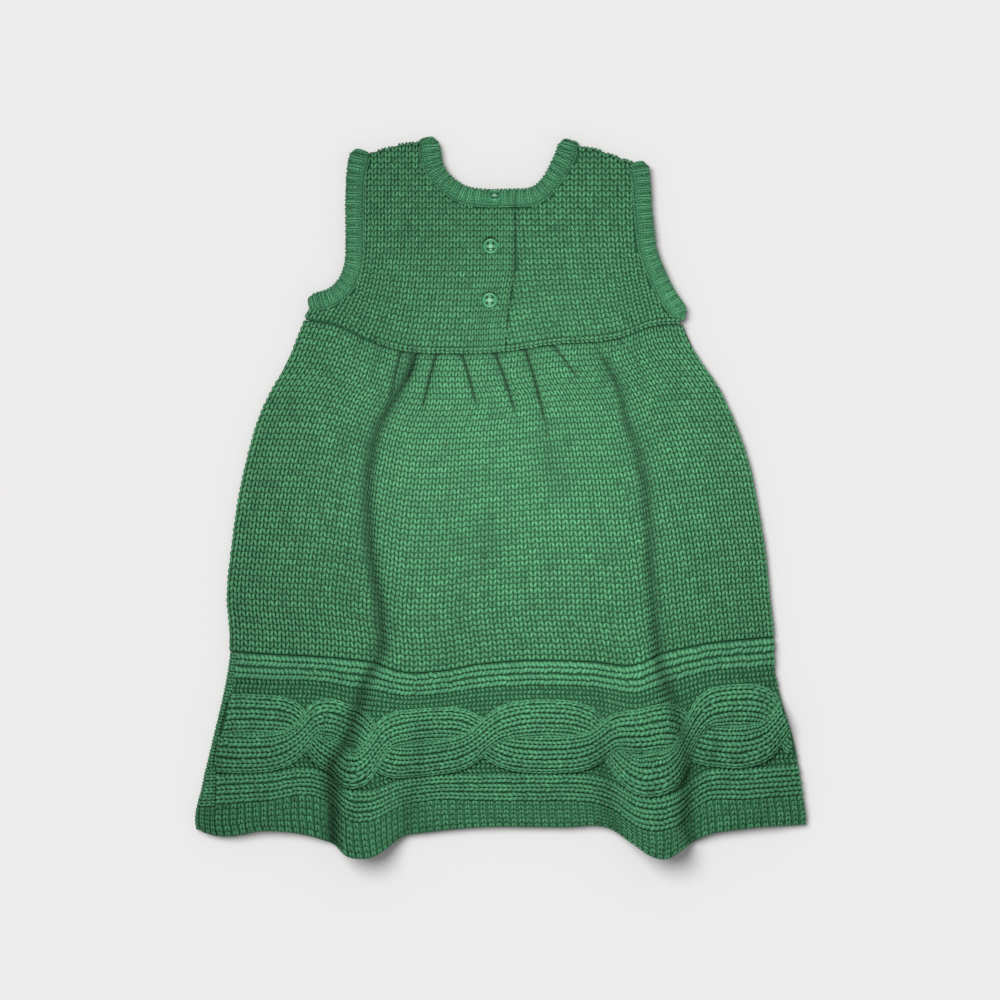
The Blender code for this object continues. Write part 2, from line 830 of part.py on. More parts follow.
def make_bodice():
    rows = 16
    columns = 17
    arm_left = seam_beside(ARM_LEFT, BAND_SEAM, FOLD_REACH)[::-1]
    arm_right = seam_beside(ARM_RIGHT, -BAND_SEAM, FOLD_REACH)[::-1]
    neck_left = seam_beside(NECK_BACK_LEFT, BAND_SEAM, FOLD_REACH)[::-1]
    neck_right = seam_beside(NECK_BACK_RIGHT, BAND_SEAM, FOLD_REACH)[::-1]
    neck_front = seam_beside(NECK_FRONT, -BAND_SEAM, FOLD_REACH)
    slit = smooth_path(SLIT, rows)
    left_slit = slit - [GAP / 2, 0]
    right_slit = slit + [GAP / 2, 0]

    neck_left = np.concatenate([neck_left[neck_left[:, 0] < slit[-1, 0] - 1], left_slit[-1:]])
    bottom = waist_edge(WAIST, arm_left[0, 0], left_slit[0, 0], columns)
    left = np.concatenate([bottom[:1], even(arm_left, rows)[1:]])
    right = np.concatenate([bottom[-1:], left_slit[1:]])
    top = shoulder_and_neck(arm_left[-1], neck_left, columns, 0.3)
    plan = patch(bottom, top, left, right)
    overlap = ease((plan[..., 0] - slit[:, 0][:, None] + PLACKET_WIDTH) / 4)
    bodice_wall("bodice_back_left", plan, BACK_BASE, BODICE_PUFF, SEAM_DROP, PLACKET_RISE * overlap)

    neck_right = np.concatenate([right_slit[-1:], neck_right[neck_right[:, 0] > NECK_BACK_RIGHT["x"][-1] + 1]])
    bottom = waist_edge(WAIST, right_slit[0, 0], arm_right[0, 0], columns)
    left = np.concatenate([bottom[:1], right_slit[1:]])
    right = np.concatenate([bottom[-1:], even(arm_right, rows)[1:]])
    top = shoulder_and_neck(arm_right[-1], neck_right[::-1], columns, 0.35)[::-1]
    plan = patch(bottom, top, left, right)
    bodice_wall("bodice_back_right", plan, BACK_BASE, BODICE_PUFF, SEAM_DROP)

    columns = 29
    bottom = waist_edge(FRONT_WAIST, arm_left[0, 0], arm_right[0, 0], columns)
    left = np.concatenate([bottom[:1], even(arm_left, rows)[1:]])
    right = np.concatenate([bottom[-1:], even(arm_right, rows)[1:]])
    left_top = np.linspace(arm_left[-1], neck_front[0], 4)
    right_top = np.linspace(neck_front[-1], arm_right[-1], 4)
    top = np.concatenate([left_top[:-1], even(neck_front, columns - 6), right_top[1:]])
    plan = patch(bottom, top, left, right)
    bodice_wall("bodice_front", plan, 0.0, 0.0, 0.0)


def hit_height(solids, x, y):
    # the highest surface straight below a point
    heights = [0.0]
    for solid in solids:
        found, place, _, _ = solid.ray_cast((x * MM, y * MM, 1.0), (0, 0, -1))
        if found:
            heights.append(place.z / MM)
    return max(heights)


def button_profile():
    radius = BUTTON_DIAMETER / 2
    dish = BUTTON_HEIGHT - BUTTON_DISH
    return (
        (0.0, dish),
        (radius - BUTTON_RIM - 0.5, dish),
        (radius - BUTTON_RIM, BUTTON_HEIGHT - 0.15),
        (radius - 0.7, BUTTON_HEIGHT),
        (radius, BUTTON_HEIGHT - 0.6),
        (radius, 0.7),
        (radius - 1.0, 0.0),
        (0.0, 0.0),
    )


def make_button(name, place, tilt, solids):
    # a turned disc with a raised rim and four thread holes
    mesh = bpy.data.meshes.new(name)
    profile = [(x * MM, 0.0, z * MM) for x, z in button_profile()]
    mesh.from_pydata(profile, [(i, i + 1) for i in range(len(profile) - 1)], [])
    button = bpy.data.objects.new(name, mesh)
    dress.objects.link(button)
    mesh.materials.append(material(name + "_plastic", BUTTON_GREEN, 0.25))
    turned = button.modifiers.new("turned", "SCREW")
    turned.steps = BUTTON_SIDES
    turned.render_steps = BUTTON_SIDES
    turned.use_merge_vertices = True
    turned.merge_threshold = 0.00001
    turned.use_smooth_shade = False

    drill = bmesh.new()
    for x in (-1, 1):
        for y in (-1, 1):
            made = bmesh.ops.create_cone(
                drill, cap_ends=True, segments=6, depth=3 * BUTTON_HEIGHT * MM,
                radius1=BUTTON_HOLE / 2 * MM, radius2=BUTTON_HOLE / 2 * MM,
            )
            shift = (x * BUTTON_HOLE_SPACING / 2 * MM, y * BUTTON_HOLE_SPACING / 2 * MM, 0)
            bmesh.ops.translate(drill, verts=made["verts"], vec=shift)
    drill_mesh = bpy.data.meshes.new(name + "_drill")
    drill.to_mesh(drill_mesh)
    drill.free()
    cutter = bpy.data.objects.new(name + "_drill", drill_mesh)
    cutters.objects.link(cutter)
    cutter.hide_render = True
    cutter.display_type = "WIRE"
    cutter.parent = button
    holes = button.modifiers.new("holes", "BOOLEAN")
    holes.operation = "DIFFERENCE"
    holes.object = cutter

    # seated just clear of the highest knit under it
    lean = np.radians(tilt)
    around = np.linspace(0, 2 * np.pi, 24, endpoint=False)
    heights = []
    for radius in (0.0, 0.5, 1.0):
        for angle in around:
            across = radius * BUTTON_DIAMETER / 2 * np.cos(angle)
            along = radius * BUTTON_DIAMETER / 2 * np.sin(angle)
            below = hit_height(solids, place[0] + across, place[1] + along * np.cos(lean))
            heights.append(below + along * np.sin(lean))
    button.location = (place[0] * MM, place[1] * MM, (max(heights) + GAP) * MM)
    button.rotation_euler = (-lean, 0.0, 0.0)


def make_buttons():
    bpy.context.view_layer.update()
    solids = [bpy.data.objects[name] for name in ("neck_band", "bodice_back_left")]
    for number, (x, y, tilt) in enumerate(zip(*BUTTONS.values()), 1):
        make_button(f"button_{number}", (x, y), tilt, solids)


def clear_scene():
    for found in list(bpy.data.objects):
        bpy.data.objects.remove(found)


clear_scene()
dress = bpy.data.collections.new("cable_knit_dress")
bpy.context.scene.collection.children.link(dress)
cutters = bpy.data.collections.new("cutters")
bpy.context.scene.collection.children.link(cutters)
make_skirt_back()
make_border_back()
make_hem_rib_back()
make_skirt_front()
make_wrapped_front("border_front", FRONT_BORDER_TOP, FRONT_HEM_TOP, GAP / 2, 10)
make_wrapped_front("hem_rib_front", FRONT_HEM_TOP, FRONT_HEM_BOTTOM, 0.0, 3)
make_neck_band()
make_arm_band("arm_band_left", ARM_LEFT, 1)
make_arm_band("arm_band_right", ARM_RIGHT, -1)
make_bodice()
make_buttons()
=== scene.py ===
import bpy
import numpy as np
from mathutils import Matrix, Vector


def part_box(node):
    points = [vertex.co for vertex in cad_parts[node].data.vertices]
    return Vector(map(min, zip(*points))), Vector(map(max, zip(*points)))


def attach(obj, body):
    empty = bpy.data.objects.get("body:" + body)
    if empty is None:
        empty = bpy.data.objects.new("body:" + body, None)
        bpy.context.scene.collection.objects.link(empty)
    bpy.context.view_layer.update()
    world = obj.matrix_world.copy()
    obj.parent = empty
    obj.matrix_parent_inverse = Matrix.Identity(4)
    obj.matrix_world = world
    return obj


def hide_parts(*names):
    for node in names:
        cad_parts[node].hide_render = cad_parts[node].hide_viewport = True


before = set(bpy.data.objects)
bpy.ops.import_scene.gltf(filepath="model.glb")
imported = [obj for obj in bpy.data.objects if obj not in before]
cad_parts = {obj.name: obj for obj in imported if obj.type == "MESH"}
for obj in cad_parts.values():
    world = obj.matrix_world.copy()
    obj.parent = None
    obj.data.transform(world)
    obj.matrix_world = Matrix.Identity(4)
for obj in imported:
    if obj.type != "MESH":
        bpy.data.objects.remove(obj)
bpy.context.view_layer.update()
mm = 0.001
straightDown = np.array([0.0, 0.0, -1.0])
rng = np.random.default_rng(11)


def table(columns, *rows):
    # named columns of numbers, with a row for each station
    return dict(zip(columns.split(), np.array(rows, dtype=float).T))


def follow(rows, key, column, at):
    # a smooth cubic curve through one column, whose key column ascends
    keys, values = rows[key], rows[column]
    slopes = np.gradient(values, keys)
    at = np.asarray(at, dtype=float)
    left = np.clip(np.searchsorted(keys, at) - 1, 0, len(keys) - 2)
    step = keys[left + 1] - keys[left]
    t = np.clip((at - keys[left]) / step, 0, 1)
    start = (1 + 2 * t) * (1 - t) ** 2 * values[left] + t * (1 - t) ** 2 * step * slopes[left]
    return start + t * t * (3 - 2 * t) * values[left + 1] - t * t * (1 - t) * step * slopes[left + 1]


def ease(t):
    # from 0 to 1 with both ends level
    t = np.clip(t, 0, 1)
    return t * t * (3 - 2 * t)


cloth = dict(
    wall=3.0,        # thickness of the knit, stitches and all
    gap=0.3,         # air at a seam and between front and back
    sideRound=3.0,   # rounding of a folded side
    sideThin=0.27,   # share of the wall that is left at the very side
    seam=0.15,       # how far a panel stays back from a seam's line
    bed=1.1,         # how far under the wall's top the middles of the stitches lie
)
backBase = cloth["wall"] + cloth["gap"]

sides = table(
    "y left right",
    (-212, -190, 190), (-203, -191.5, 191), (-181, -187, 188), (-151, -180, 183),
    (-121, -173, 174), (-104, -170, 171), (-91, -169, 171), (-61, -171, 168),
    (-31, -168, 165), (-8, -165, 161), (22, -159, 155), (52, -150, 144),
    (67, -143, 137), (82, -134, 127), (97, -128, 117.4), (104, -125.2, 114.6), (112, -122, 113.4),
)
waist = table(
    "x y",
    (-124, 111), (-105, 108), (-78, 96), (-60, 91), (-35, 89.5), (0, 90.5),
    (32, 95), (75, 99.5), (96, 107), (118, 108),
)
borderTop = table(
    "x y",
    (-170, -96.5), (-149, -98), (-100, -101), (-78, -104), (-63, -109), (-38, -109),
    (-16, -105), (12, -102.5), (56, -103), (87, -104), (97, -99.5), (125, -92.5), (171, -87.5),
)
hemTop = table(
    "x y",
    (-191, -194), (-148, -191), (-113, -189), (-104, -194), (-95, -202), (-82, -203),
    (-63, -194), (-44, -190.5), (-10, -190.6), (25, -190.8), (50, -191), (57, -191.8), (70, -196),
    (87, -207), (97, -209), (110, -205.5), (128, -191.5), (150, -190), (191, -187),
)
hemBottom = table(
    "x y",
    (-191, -208), (-178, -212), (-147, -209), (-113, -214), (-103, -218), (-96, -224),
    (-88, -225.6), (-78, -224), (-60, -212), (-47, -210), (-9, -206.5), (20, -206.5), (45, -206.5),
    (60, -205.6), (66, -206.5), (82, -216), (94, -224), (104, -225.6), (112, -221), (127, -212.5),
    (150, -208), (191, -205),
)
frontWaist = table("x y", (-124, 111), (-60, 100), (0, 96), (60, 99), (118, 108))
frontBorderTop = table("x y", (-171, -97), (0, -98), (171, -88))
frontHemTop = table("x y", (-191, -194), (-60, -190), (60, -190), (191, -187))
frontHemBottom = table("x y", (-191, -208), (-178, -212), (-140, -207), (0, -202), (191, -204))
wrap = table("y width", (-212, 13), (-196, 12.3), (-181, 9.5), (-166, 5.4), (-136, 4.8), (-94, 4.4))

fold = dict(
    puff=3.0, puffTop=114, puffLength=40,   # how far the sides stand up, and from where down
    besideValley=7, besidePuff=0.7,         # the knit just outside a valley
    puffLeft=0.35, puffRight=0.4,           # share of the way from a side to its valley
    tall=3.0, roundTop=0.12, steep=0.6,     # how a tall step is rounded on top, and how steep
)
# the two long folds: valleys, crests and feet across, and how far crests and middle stand up
folds = table(
    "y valleyL crestL footL footR crestR valleyR riseL middle riseR",
    (-226, -106, -89, -61, 72, 101, 125, 17, 1.0, 18),
    (-211, -106, -88, -60, 71, 100, 118, 17, 1.0, 18),
    (-189, -106, -86, -56, 67, 96, 117, 16.5, 1.5, 17),
    (-166, -105, -81, -50, 62, 92, 117, 15.5, 2.0, 16),
    (-153, -97, -76, -47, 62, 89, 115, 14.5, 2.5, 15),
    (-132, -90, -70, -44, 62, 87, 110, 12, 3.0, 12.5),
    (-114, -84, -65, -41, 65, 87, 103, 9.5, 3.4, 10),
    (-99, -76, -61, -34, 68, 87, 99, 8, 3.6, 8),
    (-79, -75, -60, -32, 66, 85, 97, 6.8, 3.6, 6),
    (-47, -80, -65, -33, 62, 83, 94, 6, 3.6, 5.2),
    (-16, -83, -69, -36, 60, 81, 93, 5.6, 3.6, 5),
    (22, -82, -69, -38, 58, 77, 88, 5.4, 3.6, 4.8),
    (48, -75, -64, -40, 54, 69, 79, 5.2, 3.7, 4.6),
    (73, -60, -54, -41, 56, 66, 72, 4.9, 4.2, 4.4),
    (82, -56, -50, -40, 52, 61, 67, 4.4, 4.0, 4.0),
    (90, -54, -48, -38, 46, 56, 62, 3.6, 3.2, 3.4),
    (100, -52, -46, -36, 42, 50, 56, 2.2, 2.2, 2.2),
)
# creases that run down from the gathered seam and fade out, the end being where each one is
# gone; one with a half width over sharpHalf is a soft dent in the skirt
crease = dict(
    sharpHalf=5, bend=0.8, floor=-1.0,
    soft=0.35, line=0.65, lineHalf=1.0,      # shares of its depth in a trough and in a sharp line
    comes=3, goes=1.4,                       # how fast it fades in over the seam and out again
    shadeSoft=0.25, shadeLine=1.3, shadeHalf=0.85, shadeGoes=1.9, dentShade=0.3,
)
gathers = table(
    "xTop yTop xEnd yEnd deep half",
    (-39, 92, -51, 45, 6.2, 3.4),
    (-26, 92, -13, 49, 6.0, 3.2),
    (-5.5, 93, 12.5, 41, 6.4, 3.4),
    (14, 95, 31, 33, 6.6, 3.4),
    (30, 97, 52, 68, 4.4, 3.2),
    (-62, 91, -71, 54, 3.4, 3.0),
    (-53, 91, -58, 70, 5.0, 3.0),
    (-72, 96, -84, 66, 1.2, 2.6),
    (72, 101, 92, 74, 1.6, 2.6),
    (24, 52, 38, -6, 1.4, 9.0),
    (-8, -6, -12, -52, 1.5, 10.0),
)


def sideAt(y, name):
    # x of the garment's outline at the height y
    return follow(sides, "y", name, y)


def sideLeft(y):
    return sideAt(y, "left")


def wrappedLeft(y):
    # x where the front of the border, wrapped over the left side, ends on top
    return sideAt(y, "left") + follow(wrap, "y", "width", y) - cloth["gap"]


def slitAt(y):
    return np.interp(y, slit["y"], slit["x"])


def waistAt(x):
    return follow(waist, "x", "y", x)


def foldHeight(x, y):
    # eased steps between the stations of the section at y
    at = {name: follow(folds, "y", name, y) for name in folds if name != "y"}
    puff = fold["puff"] * ease((fold["puffTop"] - y) / fold["puffLength"])
    left, right = sideAt(y, "left"), sideAt(y, "right")
    beside, besidePuff = fold["besideValley"], fold["besidePuff"] * puff
    knots = (
        (left, 0.0), (left + fold["puffLeft"] * (at["valleyL"] - left), puff),
        (at["valleyL"] - beside, besidePuff), (at["valleyL"], 0.0), (at["crestL"], at["riseL"]),
        (at["footL"], at["middle"]), (at["footR"], at["middle"]),
        (at["crestR"], at["riseR"]), (at["valleyR"], 0.0), (at["valleyR"] + beside, besidePuff),
        (right - fold["puffRight"] * (right - at["valleyR"]), puff), (right, 0.0),
    )
    # between a valley and its crest the cloth stands up steeply and rounds over on top
    risingStep, fallingStep = 3, 7
    height = np.zeros_like(x)
    for number, ((x0, z0), (x1, z1)) in enumerate(zip(knots[:-1], knots[1:])):
        share = (x - x0) / (x1 - x0)
        level = np.where(np.abs(z1 - z0) > fold["tall"], fold["roundTop"], 0.0)
        if number == risingStep:
            share, level = share / fold["steep"], 0.0
        if number == fallingStep:
            share, level = 1 - (1 - share) / fold["steep"], 0.0
        step = z0 + (z1 - z0) * ease((share - level * (z0 > z1)) / (1 - level))
        height = np.where((x >= x0) & (x <= x1), step, height)
    return height


def creases(x, y):
    # for each crease: its depth and half width, the share of its length at which a point lies,
    # and how far the point lies beside it
    for x0, y0, x1, y1, deep, half in zip(*gathers.values()):
        share = (y0 - y) / (y0 - y1)
        yield deep, half, share, x - x0 - (x1 - x0) * np.clip(share, 0, 1) ** crease["bend"]


def gatherDepth(x, y):
    # each crease is a soft trough with a sharper line along its middle, both bell curves
    depth = np.zeros_like(x)
    for deep, half, share, off in creases(x, y):
        if half < crease["sharpHalf"]:
            comes, goes = ease(1 + share * crease["comes"]), ease(crease["goes"] * (1 - share))
            fade = np.where(share < 0, comes, goes)
            line = crease["line"] * np.exp(-(off / crease["lineHalf"]) ** 2)
            trough = crease["soft"] * np.exp(-(off / half) ** 2) + line
        else:
            fade = np.where((share > 0) & (share < 1), np.sin(np.pi * np.clip(share, 0, 1)), 0)
            trough = np.exp(-(off / half) ** 2)
        depth += deep * fade * trough
    return depth


# painted shade down in a valley or at a foot of the folds: how dark it is, and how wide
foldShades = (
    ("valleyL", 0.85, 4.5), ("valleyR", 0.64, 4.5), ("footL", 0.26, 6.0), ("footR", 0.38, 7.0),
)
# painted shade and a painted shadow in other places, by strength and width
paintedShades = dict(
    outside=0.09,                          # painted shade on the left of the left valley, above the border
    underWaist=0.6, underWaistWide=1.8,    # a painted shadow line under the waist seam
    bodice=0.2, bodiceSlope=0.0006,        # painted shade on the bodice, lighter towards the right
    slit=0.5, slitWide=1.1, slitTop=187,   # a painted shade line beside the slit
)


def shadeAt(x, y):
    # painted shade: 1 down in a crease or a valley, 0 in the open; painted shade also on the
    # left panel, on the bodice and beside the slit, and a painted shadow under the waist seam
    shade = np.zeros_like(x)
    for deep, half, share, off in creases(x, y):
        bell = np.exp(-(off / half) ** 2)
        if half < crease["sharpHalf"]:
            line = crease["shadeLine"] * np.exp(-(off / crease["shadeHalf"]) ** 2)
            line = line + crease["shadeSoft"] * bell
            shade += deep / 6 * ease(crease["shadeGoes"] * (1 - share)) * line
        else:
            shade += crease["dentShade"] * np.sin(np.pi * np.clip(share, 0, 1)) * bell
    for name, strong, wide in foldShades:
        line = follow(folds, "y", name, y)
        if name.startswith("foot"):
            strong = strong * ease((-125 - y) / 40)
        shade += strong * ease((100 - y) / 20) * np.exp(-((x - line) / wide) ** 2)
    outside = ease((follow(folds, "y", "valleyL", y) - x) / 12) * ease((y + 95) / 20)
    shade += paintedShades["outside"] * outside
    below = waistAt(x) - y
    seam = np.exp(-(np.maximum(below, 0) / paintedShades["underWaistWide"]) ** 2)
    onSkirt, onBodice = shade + paintedShades["underWaist"] * seam, paintedShades["bodice"] - paintedShades["bodiceSlope"] * x
    shade = np.where(below > -0.5, onSkirt, onBodice)
    beside = np.exp(-((x - slitAt(y)) / paintedShades["slitWide"]) ** 2)
    shade += paintedShades["slit"] * beside * ease((y - 100) / 20) * (y < paintedShades["slitTop"])
    return np.clip(shade, 0, 1)


def rounding(distance):
    # 1 inside the cloth, falling on a quarter circle to its folded side
    inside = 1 - np.clip(distance / cloth["sideRound"], 0, 1)
    return np.maximum(np.sqrt(1 - inside ** 2), cloth["sideThin"])


def backTop(x, y, roundLeft=True):
    # top of the back knit: its lift, then a wall that thins at the rounded sides
    thick = cloth["wall"] * rounding(sideAt(y, "right") - x)
    if roundLeft:
        thick = thick * rounding(x - sideAt(y, "left"))
    return backBase + np.maximum(foldHeight(x, y) - gatherDepth(x, y), crease["floor"]) + thick


def addMesh(name, points, faces, uv=None, attributes=None):
    # faces are rows of three or four point numbers; uv and attributes are a value per point;
    # what would reach below the surface is pressed flat on it
    points = np.column_stack([points[:, :2], np.maximum(points[:, 2], 0.0)])
    mesh = bpy.data.meshes.new(name)
    corners, count = faces.shape[1], len(faces)
    mesh.vertices.add(len(points))
    mesh.vertices.foreach_set("co", (points * mm).astype(np.float32).ravel())
    mesh.loops.add(count * corners)
    mesh.loops.foreach_set("vertex_index", faces.astype(np.int32).ravel())
    mesh.polygons.add(count)
    mesh.polygons.foreach_set("loop_start", np.arange(0, count * corners, corners, dtype=np.int32))
    mesh.polygons.foreach_set("use_smooth", np.ones(count, dtype=bool))
    mesh.update(calc_edges=True)
    if uv is not None:
        layer = mesh.uv_layers.new(name="knit")
        layer.data.foreach_set("uv", uv[faces.ravel()].astype(np.float32).ravel())
    for key, values in (attributes or {}).items():
        layer = mesh.attributes.new(key, "FLOAT", "POINT")
        layer.data.foreach_set("value", values.astype(np.float32).ravel())
    mesh.validate()
    made = bpy.data.objects.new(name, mesh)
    bpy.context.scene.collection.objects.link(made)
    return made


def turnedOut(points, faces):
    # winds the faces of a closed mesh so that they point outwards
    a, b, c = (points[faces[:, i]] for i in range(3))
    volume = np.einsum("ij,ij->i", a, np.cross(b, c)).sum()
    return faces if volume > 0 else faces[:, ::-1]


def quadNumbers(rows, columns, start=0):
    # the point numbers of a grid, and its faces of four points each
    n = start + np.arange(rows * columns).reshape(rows, columns)
    return n, np.stack([n[:-1, :-1], n[1:, :-1], n[1:, 1:], n[:-1, 1:]], -1).reshape(-1, 4)


def tubeFaces(count, around):
    # triangles between rings that follow each other, and a fan to one point more at each end
    n = np.arange(count * around).reshape(count, around)
    after = np.roll(n, -1, axis=1)
    return np.concatenate([
        np.stack([n[:-1], after[:-1], after[1:]], -1).reshape(-1, 3),
        np.stack([n[:-1], after[1:], n[1:]], -1).reshape(-1, 3),
        np.stack([np.full(around, count * around), after[0], n[0]], -1),
        np.stack([np.full(around, count * around + 1), n[-1], after[-1]], -1),
    ])


def runAlong(line):
    # the length of a line from its start to each of its points
    return np.append(0, np.cumsum(np.linalg.norm(np.diff(line, axis=0), axis=1)))


def headingAlong(line):
    heading = np.gradient(line, axis=0)
    return heading / np.linalg.norm(heading, axis=1)[:, None]


def between(values, run, at):
    # every column of the values, which stand at the lengths run, read at other lengths
    return np.stack([np.interp(at, run, column) for column in values.T], -1)


def even(points, count):
    # the same line with its points evenly spaced
    run = runAlong(points)
    return between(points, run, np.linspace(0, run[-1], count))


def normalsOf(points):
    # the cross of the two directions of a grid of points
    normals = np.cross(np.gradient(points, axis=0), np.gradient(points, axis=1))
    return normals / (np.linalg.norm(normals, axis=2, keepdims=True) + 1e-9)


def clothShell(name, top, thick, uvScale, inward=None):
    # a closed shell: the grid of points, the same grid set back by the thickness, and a rim
    rows, columns = top.shape[:2]
    if inward is None:
        normals = normalsOf(top)
        inward = -normals * np.sign(normals[..., 2].mean())
    under = top + inward * thick
    n, upper = quadNumbers(rows, columns)
    m, lower = quadNumbers(rows, columns, rows * columns)
    rim = [
        np.stack([n[0, :-1], n[0, 1:], m[0, 1:], m[0, :-1]], -1),
        np.stack([n[-1, 1:], n[-1, :-1], m[-1, :-1], m[-1, 1:]], -1),
        np.stack([n[1:, 0], n[:-1, 0], m[:-1, 0], m[1:, 0]], -1),
        np.stack([n[:-1, -1], n[1:, -1], m[1:, -1], m[:-1, -1]], -1),
    ]
    points = np.concatenate([top.reshape(-1, 3), under.reshape(-1, 3)])
    faces = turnedOut(points, np.concatenate([upper, lower[:, ::-1], *rim]))
    u, v = np.meshgrid(np.linspace(0, uvScale[0], columns), np.linspace(0, uvScale[1], rows))
    uv = np.tile(np.stack([u, v], -1).reshape(-1, 2), (2, 1))
    return addMesh(name, points, faces, uv)


def clothMap(points, fine, outside=None):
    # a grid of points, so many to a stitch down and across, with the way that its outside faces
    fine = np.broadcast_to(fine, 2)
    normals = normalsOf(points)
    if outside is None:
        normals = normals * np.sign(normals[..., 2].mean())
    else:
        normals = normals * np.sign((normals * outside).sum())
    return dict(points=points, normals=normals, fine=fine)


def onMap(knit, u, v, up):
    # place at column u and row v of the map, between its four nearest points, raised by up
    rows, columns = knit["points"].shape[:2]
    r = np.clip(v * knit["fine"][0], 0, rows - 1.001)
    c = np.clip(u * knit["fine"][1], 0, columns - 1.001)
    i, j = r.astype(int), c.astype(int)
    fr, fc = (r - i)[..., None], (c - j)[..., None]

    def blended(grid):
        top = (1 - fc) * grid[i, j] + fc * grid[i, j + 1]
        return (1 - fr) * top + fr * ((1 - fc) * grid[i + 1, j] + fc * grid[i + 1, j + 1])

    return blended(knit["points"]) + up[..., None] * blended(knit["normals"])


def leg(start, end, width, thick, rings=3, around=5):
    # half a stitch: rings round a line that rises from its start and dips again at its end; the
    # swell and the rise are half waves of a sine, made blunter by a power under 1
    t = np.linspace(0, 1, rings + 2)
    swell = np.sin(np.pi * np.clip(0.13 + 0.74 * t[1:-1], 0, 1)) ** 0.6
    angle = 2 * np.pi * (np.arange(around) + 0.25) / around - np.pi / 2
    line = np.array(start) + (np.array(end) - np.array(start)) * t[:, None]
    rise = -0.45 * thick + 0.95 * thick * np.sin(np.pi * t) ** 0.8
    ring = np.empty((rings, around, 3))
    ring[..., 0] = line[1:-1, :1] + width * swell[:, None] * np.cos(angle)
    ring[..., 1] = line[1:-1, 1:2]
    ring[..., 2] = rise[1:-1, None] + thick * swell[:, None] * np.sin(angle)
    ends = np.column_stack([line[[0, -1]], rise[[0, -1]]])
    along = np.concatenate([np.repeat(t[1:-1], around), t[[0, -1]]])
    turn = np.concatenate([np.tile(np.arange(around) / around, rings), [0.5, 0.5]])
    points = np.concatenate([ring.reshape(-1, 3), ends])
    return points, tubeFaces(rings, around), np.column_stack([along, turn])


def joined(*parts):
    # several meshes as one: points, faces and uv
    points, faces, uvs = zip(*parts)
    starts = np.cumsum([0] + [len(p) for p in points[:-1]])
    faces = [f + start for f, start in zip(faces, starts)]
    return np.concatenate(points), np.concatenate(faces), np.concatenate(uvs)


def vStitch(inner=0.11, outer=0.39, width=0.215, thick=0.85, low=-0.7, high=0.7):
    # two legs that meet at the low end of the stitch and part at the high end
    return joined(
        leg((inner, low), (outer, high), width, thick),
        leg((-inner, low), (-outer, high), width, thick),
    )


def stitches(name, knit, u, v, shape, across=1.0, along=1.0, up=0.0, sideways=False, unevenness=0.05):
    # the same small shape set at every (u, v) of a map, each a little different from the next
    points, faces, uv = shape
    count = len(u)
    wobble = rng.normal(0, unevenness, (count, 3))
    a = points[:, 0] * np.broadcast_to(across, count)[:, None] * (1 + wobble[:, :1])
    b = points[:, 1] * np.broadcast_to(along, count)[:, None]
    lean = wobble[:, 1:2] * np.broadcast_to(across, count)[:, None]
    height = points[:, 2] * (1 + wobble[:, 2:]) + np.broadcast_to(up, count)[:, None]
    if sideways:
        placed = onMap(knit, u[:, None] + b, v[:, None] + a + lean * 0.5, height)
    else:
        placed = onMap(knit, u[:, None] + a + lean * 0.5, v[:, None] + b, height)
    # painted shade from shadeAt, carried on each point as the shade attribute
    shade = shadeAt(placed[..., 0], placed[..., 1]).ravel()
    tone = np.repeat(rng.normal(0, 1, count), len(points))
    low, high = points[:, 2].min(), points[:, 2].max()
    # deep: how high a point stands in its stitch; the yarn's material paints shade on the lower parts
    deep = np.tile((points[:, 2] - low) / (high - low), count)
    numbers = faces[None] + (np.arange(count) * len(points))[:, None, None]
    placed = placed.reshape(-1, 3)
    numbers = turnedOut(placed - placed.mean(axis=0), numbers.reshape(-1, 3))
    attributes = dict(tone=tone, deep=deep, shade=shade)
    return addMesh(name, placed, numbers, np.tile(uv, (count, 1)), attributes)


def linear(hexColour):
    # sRGB hex to the linear colour that a shader takes
    value = np.array([int(hexColour[i:i + 2], 16) for i in (0, 2, 4)]) / 255
    value = np.where(value <= 0.04045, value / 12.92, ((value + 0.055) / 1.055) ** 2.4)
    return (*value, 1.0)


def addNode(tree, kind, inputs=(), output=0, **settings):
    # a shader node with its settings, of which one output is passed on; inputs are given in
    # order or by name, and each is a value or another node's output
    node = tree.nodes.new("ShaderNode" + kind)
    for key, value in settings.items():
        setattr(node, key, value)
    for key, value in (inputs.items() if isinstance(inputs, dict) else enumerate(inputs)):
        if isinstance(value, bpy.types.NodeSocket):
            tree.links.new(value, node.inputs[key])
        else:
            node.inputs[key].default_value = value
    return node.outputs[output]


def startMaterial(name, roughness, specular, sheen=0.0, sheenColour="FFFFFF"):
    # a material with its shader's fixed values; its colour and relief are linked afterwards
    material = bpy.data.materials.new(name)
    material.use_nodes = True
    shader = material.node_tree.nodes["Principled BSDF"]
    shader.inputs["Roughness"].default_value = roughness
    shader.inputs["Specular IOR Level"].default_value = specular
    shader.inputs["Sheen Weight"].default_value = sheen
    shader.inputs["Sheen Roughness"].default_value = 0.4
    shader.inputs["Sheen Tint"].default_value = linear(sheenColour)
    return material, material.node_tree, shader


# sizes in millimetres; the flecks of lighter fibre are drawn coarser than real ones, to show
cotton = dict(
    roughness=0.78, specular=0.25, bloom=0.25, bloomColour="A9D9B4",
    fleck=1.111, cloud=35.71, fleckStrength=1.4, cloudStrength=0.25,
    # first below: how far painted shade darkens the yarn where the shade attribute is 1
    paintedShadeStrength=-0.74, toneSpread=0.09, pliesAlong=3.0, pliesRound=2.0, plyRelief=0.3,
    legLow=0.13, legSpread=0.24, legHalf=0.15,    # shares of a stitch's width, in the ground's V
)


